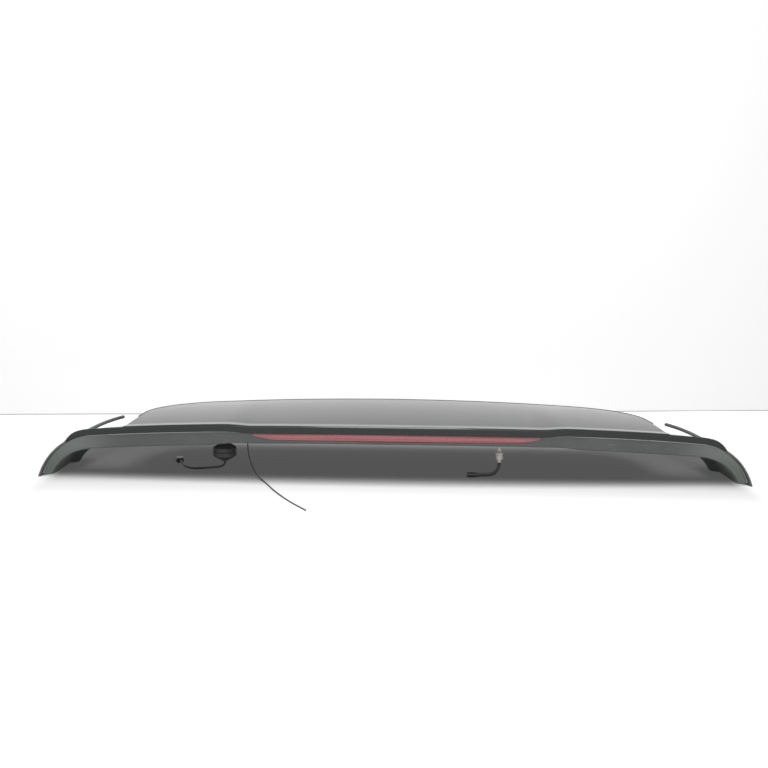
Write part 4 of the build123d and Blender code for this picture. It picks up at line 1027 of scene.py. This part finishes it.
def underside(x, y):
    """Height of the underside's outer face at a place under the panel."""
    run = run_at(np.array([x]), UNDER)
    return float(place(run, y, under_out(run, np.array([y])))[0, 2])


def seat_at(x, y):
    """Height of the foot of a boss at a place under the panel."""
    return underside(x, y) - 2.0


STUDS = [(side * x, fore(186.0)) for x in (150.0, 370.0) for side in (-1, 1)]
PEGS = [(side * 260.0, fore(186.0)) for side in (-1, 1)]
BUFFERS = [(side * 425.0, fore(128.0)) for side in (-1, 1)]
BOOT = (-298.0, fore(104.0))
WIRE_BUSH = (-254.0, fore(82.0))
HOSE_BUSH = (180.0, fore(92.0))


def bosses():
    """Round seats under the lower shell, each a short pillar with a rounded foot and a small draft."""
    sized = [(STUDS, 16.0), (PEGS, 11.0), (BUFFERS, 10.0), ([BOOT], 15.0), ([WIRE_BUSH], 8.0), ([HOSE_BUSH], 10.0)]
    shapes = []
    for spots, size in sized:
        foot = [
            (0.0, 0.0), (size - 0.5, 0.0), (size, 0.5), (size + 0.2, 1.2), (size + 0.9, 1.7), (size + 2.2, 2.6),
            (0.0, 6.0),
        ]
        shapes += [turned(foot, *spot, seat_at(*spot)) for spot in spots]
    return shapes


def ears_painted_lighter():
    """The satin grey, painted paler and greener towards the ears as painted light on their faces."""
    material = moulded("lower_shell_grey", (0.064, 0.069, 0.067), (0.08, 0.086, 0.083), **SATIN)
    tree = material.node_tree
    base = tree.nodes["Principled BSDF"].inputs["Base Color"]
    x = axes_of(tree, object_at(tree))[0]
    # Painted light: the colour grows paler towards the ears, standing for the light that their faces catch.
    far_out = smooth_range(tree, math_node(tree, "ABSOLUTE", x), 0.44, 0.6)
    pale = blend_colour(tree, times(tree, far_out, 0.9), base.links[0].from_socket, (0.23, 0.25, 0.236))
    wire(tree, pale, base)
    return material


LOWER_GREY = ears_painted_lighter()
face, opening = lower_grid(0.0)
back_face, _ = lower_grid(WALL)
lower_shape = join(skin(face, back_face, opening), side_walls(), *bosses())
piece_from("lower_shell_moulding", lower_shape, LOWER_GREY, "dark_grey_plastic", ["lower_shell"], crease=32.0)

# %% [markdown]
# ## The line along the joint
#
# A fine pale line runs along the joint from the lamp to each ear, a painted highlight where the lip's
# top edge catches light under the paint. It is a thin bead carried along the arch, thinner towards its ends.

# %% Joint bead
def joint_bead():
    """Right bead under the band: a round whose radius fades as a root at both ends."""
    first, last = 252.0, ear_run(np.radians(38.0))
    share = np.linspace(0.0, 1.0, 90)[:, None]
    run = first + (last - first) * share
    size = 0.75 * np.sqrt(np.sin(np.pi * np.clip(share, 0.004, 0.996)))
    angle = np.linspace(0, 2 * np.pi, 10, endpoint=False)[None, :]
    return loop_grid(place(run, edge_at(run) + 2.3 + size * np.cos(angle), -0.25 + 0.7 * size * np.sin(angle)))


# The bead's pale grey is painted highlight on the lip's top edge.
BEAD_PAINTED_HIGHLIGHT = moulded("joint_bead_painted_highlight", (0.2, 0.21, 0.2), (0.3, 0.31, 0.3), 0.5, 1400.0, 0.00005, 0.2, 0.1)
bead_shape = join(*pair(joint_bead()))
piece_from("joint_bead", bead_shape, BEAD_PAINTED_HIGHLIGHT, "dark_grey_plastic", crease=60.0, recalc=True)

# %% [markdown]
# ## The side fins
#
# A thin blade lies over the outer side of each ear, with a slim horn that reaches forward along the
# car's window. The blade is a piece of the ear's own arc, three millimetres thick, whose front lower
# corner is rounded off.

# %% Side fins
FIN_OUT, FIN_IN, FIN_SOFT = 3.3, 0.3, 0.8
FIN_FRONT, FIN_BEHIND, FIN_GAP = fore(176.0), 2.0, 1.6
FIN_CORNER_R = 34.0
HORN_R, HORN_ROOT = 3.2, np.radians(37.0)


def tube(path, radius, count=16):
    """Round tube along a path with a radius for each point, closed at both ends."""
    along = np.gradient(path, axis=0)
    along /= np.linalg.norm(along, axis=1)[:, None]
    side = np.cross(along, (0.0, 0.0, 1.0))
    side /= np.linalg.norm(side, axis=1)[:, None]
    up = np.cross(side, along)
    angle = np.linspace(0, 2 * np.pi, count, endpoint=False)[None, :, None]
    ring = side[:, None] * np.cos(angle) + up[:, None] * np.sin(angle)
    return loop_grid(path[:, None] + ring * np.broadcast_to(radius, len(path))[:, None, None])


def fin_grid(out, shrink):
    """One face of the right fin's blade: angle down the ear by distance forward, cut to its outline."""
    start = EAR_SLOPE + np.maximum(0.0, END_ANGLE + FIN_GAP / EAR_R - EAR_SLOPE)
    turn = start + shrink / EAR_R + np.linspace(0, 1, 26)[:, None] * (floor_angle(out) - start - shrink / EAR_R)
    run = ear_run(turn)
    z = place(run, 0.0, out)[..., 2]
    lift = np.clip(FIN_CORNER_R - z, 0.0, FIN_CORNER_R)
    front = FIN_FRONT - FIN_CORNER_R + np.sqrt(FIN_CORNER_R ** 2 - lift ** 2) - shrink
    rear = edge_at(run) - FIN_BEHIND + shrink
    share = np.linspace(0, 1, 30)[None, :]
    return place(run, rear + (front - rear) * share, out + 0 * share)


def fin():
    """Right fin: blade with softened edges, and its horn along a shallow arc to a rounded tip."""
    blade = skin(fin_grid(FIN_OUT, FIN_SOFT), fin_grid(FIN_IN, 0.0))
    root = place(np.array(ear_run(HORN_ROOT)), fore(130.0), 1.8)
    end = np.array([524.0, fore(249.0), 69.0])
    t = np.linspace(0, 1, 24)[:, None]
    bow = np.array([3.0, 0.0, 3.0])
    path = root + (end - root) * t + 4 * bow * t * (1 - t)
    turn = np.linspace(0.2, np.pi / 2, 7)
    nose = end + (end - path[-2]) / np.linalg.norm(end - path[-2]) * (HORN_R * np.sin(turn))[:, None]
    radius = np.concatenate([np.full(len(path), HORN_R), np.maximum(HORN_R * np.cos(turn), 0.01)])
    return join(blade, tube(np.concatenate([path, nose]), radius))


for side, shape in zip(("right", "left"), pair(fin())):
    piece_from(side + "_fin_blade", shape, SATIN_GREY, "dark_grey_plastic", [side + "_side_fin"], crease=40.0)

# %% [markdown]
# ## The brake lamp
#
# The lamp's outer face is a long red lens with upright flutes that spread its light. It follows the
# lip's lean, and its lower edge sweeps up to each end. Real flutes in the mesh catch the light
# better than a bump, so the grid has eight columns to each flute, and the flutes fade out at the
# border. Daylight makes an unlit lens look milky, so it is a glossy solid red, not clear glass.

# %% Red lens
FLUTE, FLUTE_DEEP, LENS_THICK = 4.0, 0.35, 4.0
LENS_EDGE, LENS_COLUMNS, LENS_SETBACK = 235.6, 945, 3.8
LENS_TOP, LENS_TOP_BOW = 0.0887, 0.0455


def lens_face(depth, flutes):
    """Lens face behind the lip: X by share of the height, pushed in by a depth, with round flutes.

    A flute is the gap left by the size of a sine of X, faded at the border by a root of a sine.
    """
    x = np.linspace(-LENS_EDGE, LENS_EDGE, LENS_COLUMNS)[:, None]
    share = np.linspace(0.0, 1.0, 13)[None, :]
    low = np.maximum(lens_low(x), 1.4)
    down = LENS_GAP + (low - LENS_GAP) * share
    slope = LIP_LEAN / (lip_height(x) - SEAM)
    groove = flutes * (1 - np.abs(np.sin(np.pi * x / FLUTE))) * np.sin(np.pi * share) ** 0.4
    return place(x + 0 * share, edge_at(x) + LENS_SETBACK + slope * (down - SEAM) + depth + groove, -down)


def lens_red():
    """Milky red: streaks along X, partly inner lines and partly painted highlights, a painted highlight band, painted
    shade along the top and bottom edges, and darker, greyer ends.

    Heights count down from the lens's upper edge, a parabola of X in metres.
    """
    material, tree, shader, at = blank_material("lamp_lens_red")
    x, _, z = axes_of(tree, at)
    top = math_node(tree, "SUBTRACT", LENS_TOP, times(tree, times(tree, x, x), LENS_TOP_BOW))
    down = math_node(tree, "SUBTRACT", top, z)
    stretch = add_node(tree, "ShaderNodeMapping")
    stretch.inputs["Scale"].default_value = (5.0, 60.0, 420.0)
    wire(tree, at, stretch.inputs["Vector"])
    # Streaks along X: partly the lens's inner lines, partly painted highlights.
    streaks = spread(tree, noise(tree, stretch.outputs["Vector"], 1.0, 4.0, 0.6), 0.35, 0.68, 0.0, 1.0)
    colour = blend_colour(tree, streaks, (0.25, 0.062, 0.07), (0.36, 0.125, 0.135))
    # Painted highlight: a paler band across the upper middle of the lens.
    bright = times(tree, smooth_range(tree, down, 0.002, 0.0045), smooth_range(tree, down, 0.0085, 0.0055))
    colour = blend_colour(tree, times(tree, bright, 0.5), colour, (0.44, 0.17, 0.17))
    # Painted shade along the lens's top and bottom edges.
    upper_painted_shade, lower_painted_shade = smooth_range(tree, down, 0.0022, 0.0008), smooth_range(tree, down, 0.0106, 0.0124)
    rim = math_node(tree, "MAXIMUM", upper_painted_shade, lower_painted_shade)
    colour = blend_colour(tree, times(tree, rim, 0.8), colour, (0.1, 0.012, 0.016))
    darker_ends = times(tree, smooth_range(tree, math_node(tree, "ABSOLUTE", x), 0.196, 0.226), 0.6)
    colour = blend_colour(tree, darker_ends, colour, (0.2, 0.1, 0.12))
    film = use_group(tree, DUST, at, Amount=0.3)
    colour = blend_colour(tree, film.outputs["Mask"], colour, (0.5, 0.45, 0.44))
    wire(tree, colour, shader.inputs["Base Color"])
    wire(tree, spread(tree, streaks, 0.0, 1.0, 0.1, 0.2), shader.inputs["Roughness"])
    shader.inputs["IOR"].default_value = 1.49
    bumped(tree, shader, noise(tree, at, 500.0, 2.0), 0.15, 0.0001)
    return material


LENS_RED = lens_red()
lens_shape = skin(lens_face(0.0, FLUTE_DEEP), lens_face(LENS_THICK, 0.0))
piece_from("lamp_lens_fluted", lens_shape, LENS_RED, "red_lens", ["lamp_lens"], crease=50.0)

# %% [markdown]
# ## The rubber seal
#
# A thin rubber strip runs round the front and sides of the panel, where it meets the roof. It is one
# small rounded section carried along the panel's outline, just outside it and with its crest a hair
# above the paint, and it draws the dark line round the panel in the photograph.

# %% Panel edge seal
def ringed(points):
    """Tube of rings with both ends closed by a point in the middle of the end ring."""
    ends = np.repeat(points[[0, -1]].mean(1, keepdims=True), points.shape[1], 1)
    return loop_grid(np.concatenate([ends[:1], points, ends[1:]]))


def edge_seal():
    """Seal section, as (outward, down) points, carried along the outline of the panel."""
    front = fore(PANEL_DEPTH)
    half = [(0, front), (FRONT_HALF, front), (SIDE_REAR, fore(SIDE_REAR_AT))]
    points, normals = rounded_path(half, (CORNER_R,), 6.0)
    keep = points[:, 1] > SKIRT_END + 2.0
    points, normals = both_sides(points[keep], normals[keep])
    section = np.array([
        (0.0, 0.45), (0.5, 0.1), (0.9, -0.4), (1.4, -0.6), (1.9, -0.4), (2.3, 0.3), (2.4, 1.7), (2.3, 2.6), (1.7, 3.2),
        (1.8, 3.8), (2.3, 4.3), (2.2, 5.0), (1.5, 5.45), (0.0, 5.45),
    ])
    run = run_at(points[:, 0], BAND)
    top = place(run, points[:, 1], panel_rise(run, points[:, 1]))
    aside = np.concatenate([normals, np.zeros((len(points), 1))], 1)
    down = np.array([0.0, 0.0, -1.0])
    base = np.column_stack([points, top[:, 2]])[:, None]
    rings = base + aside[:, None] * section[None, :, :1] + down * section[None, :, 1:]
    return ringed(rings)


RUBBER = (BLACK_RUBBER, "black_rubber")
piece_from("edge_seal_strip", edge_seal(), *RUBBER, ["panel_edge_seal"], crease=50.0, recalc=True)

# %% [markdown]
# ## Fixings under the panel
#
# Threaded studs, foam rings, pegs and buffers sit under the panel and are seen from below. All but
# the thread are turned shapes with softened corners. The thread is a grid of angle by height whose
# radius falls and rises once for each turn, shifted by the angle, which makes a true helix.

# %% Plated metal
def zinc_plate():
    """Zinc plating: metal with cloudy brightness and fine tool lines."""
    material, tree, shader, at = blank_material("zinc_plated_steel")
    cloud = noise(tree, at, 260.0, 4.0, 0.6)
    film = use_group(tree, DUST, at, Amount=0.25)
    colour = blend_colour(tree, spread(tree, cloud, 0.3, 0.7, 0.0, 1.0), (0.3, 0.31, 0.32), (0.46, 0.46, 0.45))
    colour = blend_colour(tree, film.outputs["Mask"], colour, (0.3, 0.28, 0.25))
    wire(tree, colour, shader.inputs["Base Color"])
    wire(tree, spread(tree, cloud, 0.3, 0.7, 0.28, 0.45), shader.inputs["Roughness"])
    shader.inputs["Metallic"].default_value = 1.0
    bumped(tree, shader, noise(tree, at, 2400.0, 2.0), 0.2, 0.00004)
    return material


ZINC = zinc_plate()
print(ZINC.name)

# %% Studs and foam rings
def softened(corners, radius):
    """Profile with each corner rounded off, by less where its sides are short."""
    corners = np.array(corners, float)
    lengths = np.linalg.norm(np.diff(corners, axis=0), axis=1)
    radii = np.minimum(radius, 0.4 * np.minimum(lengths[:-1], lengths[1:]))
    return rounded_path(corners, radii, 50.0)[0]


def thread(x, y, high, low, radius, pitch, cut):
    """Screw thread on an upright axis: radius less a triangle wave of height and angle, tapered at its end."""
    angle = np.linspace(0, 2 * np.pi, 32, endpoint=False)[None, :]
    z = np.linspace(high, low, int((high - low) / pitch * 7))[:, None]
    phase = (z / pitch + angle / (2 * np.pi)) % 1.0
    size = radius - cut * np.abs(2 * phase - 1) - 0.8 * np.clip(1 - (z - low) / 1.2, 0, 1)
    points = np.stack([x + size * np.cos(angle), y + size * np.sin(angle), z + 0 * angle], -1)
    return ringed(points)


shank = softened([(0, 10.5), (8.0, 10.5), (8.0, 8.0), (3.6, 8.0), (3.6, -4.5), (2.6, -4.9), (0, -4.9)], 0.4)
ring = softened([(4.0, -2.0), (4.0, 0.0), (14.5, 0.0), (14.5, -4.0), (4.0, -4.0), (4.0, -2.2)], 1.2)
stud_shapes, foam_shapes = [], []
for x, y in STUDS:
    seat = seat_at(x, y)
    stud_shapes += [turned(shank, x, y, seat), thread(x, y, seat - 4.6, seat - 19.0, 3.0, 1.0, 0.5)]
    foam_shapes.append(turned(ring, x, y, seat))
piece_from("stud_threads", join(*stud_shapes), ZINC, "zinc_steel", ["mounting_studs"], crease=40.0, recalc=True)
piece_from("stud_foam_rings", join(*foam_shapes), FOAM, "foam", ["stud_seals"], crease=50.0, recalc=True)

# %% Pegs and buffers
peg_line = [
    (0, 7.0), (3.0, 7.0), (3.0, 0.0), (9.0, 0.0), (9.0, -2.0), (4.5, -2.0), (4.5, -11.0), (2.5, -16.0), (0, -16.0),
]
pad_line = [
    (0, 6.0), (2.6, 6.0), (2.6, 0.0), (8.0, 0.0), (8.0, -1.6), (7.3, -2.1), (7.3, -2.7), (8.0, -3.2), (8.0, -4.4),
    (4.8, -7.0), (0, -7.0),
]
peg_shapes = [turned(softened(peg_line, 0.8), *spot, seat_at(*spot)) for spot in PEGS]
pad_shapes = [turned(softened(pad_line, 1.4), *spot, seat_at(*spot)) for spot in BUFFERS]
piece_from("locating_peg_pair", join(*peg_shapes), NYLON, "natural_nylon", ["locating_pegs"], recalc=True)
piece_from("rubber_buffer_pair", join(*pad_shapes), *RUBBER, ["rubber_buffers"], recalc=True)

# %% [markdown]
# ## Screws in the fins
#
# Each fin is held by two pan head screws. A head is a polar grid of radius and angle, domed by a
# fourth power, with a cross pressed into it where both of its own side coordinates are small.

# %% Fin screws
def pan_head(middle, out):
    """Pan head on a plane: radius by angle, domed, with a cross recess, set along its own outward way."""
    edge = 4.5
    radius = np.concatenate([np.linspace(0.05, edge - 0.1, 26), [edge, edge]])[:, None]
    angle = np.linspace(0, 2 * np.pi, 72, endpoint=False)[None, :]
    u, v = radius * np.cos(angle), radius * np.sin(angle)
    near, far = np.minimum(np.abs(u), np.abs(v)), np.maximum(np.abs(u), np.abs(v))
    recess = (1 - ramp(near, 0.45, 0.75)) * (1 - ramp(far, 1.9, 2.4))
    high = 2.2 - (radius / edge) ** 4 - 1.3 * recess
    high[-1] = 0.0
    forward = np.array([0.0, 1.0, 0.0])
    aside = np.cross(forward, out)
    points = middle + u[..., None] * forward + v[..., None] * aside + high[..., None] * out
    return ringed(points)


SCREW_ANGLES, SCREW_FROM_EDGE = (33.0, 47.0), 16.0
screw_shapes = []
for side in (-1, 1):
    for degrees in SCREW_ANGLES:
        run = np.array(side * ear_run(np.radians(degrees)))
        tilt = float(station(run)[2])
        middle = place(run, edge_at(run) + SCREW_FROM_EDGE, FIN_OUT)
        screw_shapes.append(pan_head(middle, np.array([np.sin(tilt), 0.0, np.cos(tilt)])))
piece_from("fin_screw_heads", join(*screw_shapes), ZINC, "zinc_steel", ["fin_screws"], crease=45.0, recalc=True)

# %% [markdown]
# ## Boot, bushes and valve
#
# The lamp's lead leaves through a rubber boot with a grooved rim, and the two thinner leads through
# small bushes. The pale valve in the washer hose shows as the one bright spot under the lip. These
# are turned shapes too, with the beads and grooves that rubber parts have.

# %% Boot, bushes and valve
boot_line = [
    (0, 0), (13.0, 0), (13.0, -3.0), (8.0, -3.4), (8.8, -5.0), (8.0, -6.6), (8.8, -8.2), (8.0, -9.8), (8.8, -11.4),
    (8.0, -13.0), (20.0, -20.0), (20.0, -26.0), (18.2, -26.0), (18.2, -27.8), (20.0, -27.8), (20.0, -35.0),
    (12.0, -40.0), (10.6, -40.6), (5.6, -43.2), (5.0, -44.0), (0, -44.0),
]
boot_shape = turned(softened(boot_line, 2.5), *BOOT, seat_at(*BOOT), 64)
piece_from("lead_boot_rubber", boot_shape, *RUBBER, ["wiring_boot"], crease=60.0, recalc=True)
BUSH_TALL = 5.0


def bush(x, y, radius, tip):
    """Tapered bush with a bead half way, turned on the underside."""
    line = [
        (0, 0), (radius, 0), (radius, -1.6), (radius - 0.6, -2.0), (radius - 0.5, -2.5), (tip, -BUSH_TALL),
        (0, -BUSH_TALL),
    ]
    return turned(softened(line, 0.5), x, y, seat_at(x, y))


piece_from("aerial_bush_rubber", bush(*WIRE_BUSH, 6.0, 3.0), *RUBBER, ["aerial_bush"], recalc=True)
piece_from("hose_bush_rubber", bush(*HOSE_BUSH, 8.0, 5.0), *RUBBER, ["hose_bush"], recalc=True)
valve_line = [
    (0, 0), (3.4, 0), (3.4, -6.0), (2.9, -6.5), (3.4, -7.0), (3.4, -17.0), (6.5, -20.0), (6.5, -24.0), (6.0, -24.5),
    (6.0, -25.5), (6.5, -26.0), (6.5, -31.0), (3.4, -34.0), (3.4, -37.5), (0, -37.5),
]
valve_shape = turned(softened(valve_line, 0.8), *HOSE_BUSH, seat_at(*HOSE_BUSH) - BUSH_TALL)
piece_from("washer_valve_nylon", valve_shape, NYLON, "natural_nylon", ["washer_valve"], recalc=True)

# %% [markdown]
# ## Finishes of the solids that stay
#
# The lamp's inner parts, the plug and the coupling keep their solid shape and only need a finish.
# The light sources are pale with a warmer middle, as phosphor is.

# %% Finishes on solids
def phosphor():
    """Pale body with a warm cast that comes and goes."""
    material, tree, shader, at = blank_material("light_source_body")
    warm = spread(tree, noise(tree, at, 180.0, 3.0), 0.35, 0.65, 0.0, 1.0)
    wire(tree, blend_colour(tree, warm, (0.85, 0.82, 0.7), (0.8, 0.66, 0.28)), shader.inputs["Base Color"])
    wire(tree, spread(tree, warm, 0.0, 1.0, 0.2, 0.4), shader.inputs["Roughness"])
    return material


finishes = {
    "lamp_gasket": FOAM, "lamp_housing": LAMP_BODY, "lamp_circuit_board": BOARD, "lamp_leds": phosphor(),
    "lamp_screws": ZINC, "lamp_plug": BLACK_PLASTIC, "hose_coupling": BLACK_PLASTIC,
}
for name, finish in finishes.items():
    for material_slot in nodes[name].material_slots:
        material_slot.material = finish
print("finishes on solids:", len(finishes))

# %% [markdown]
# ## Where the leads come out
#
# Each of the three loose leads leaves at its bush or boot and hangs freely from there. Their lengths
# are those of the routes above, which show each lead whole.

# %% Leads
print("leads: 3")
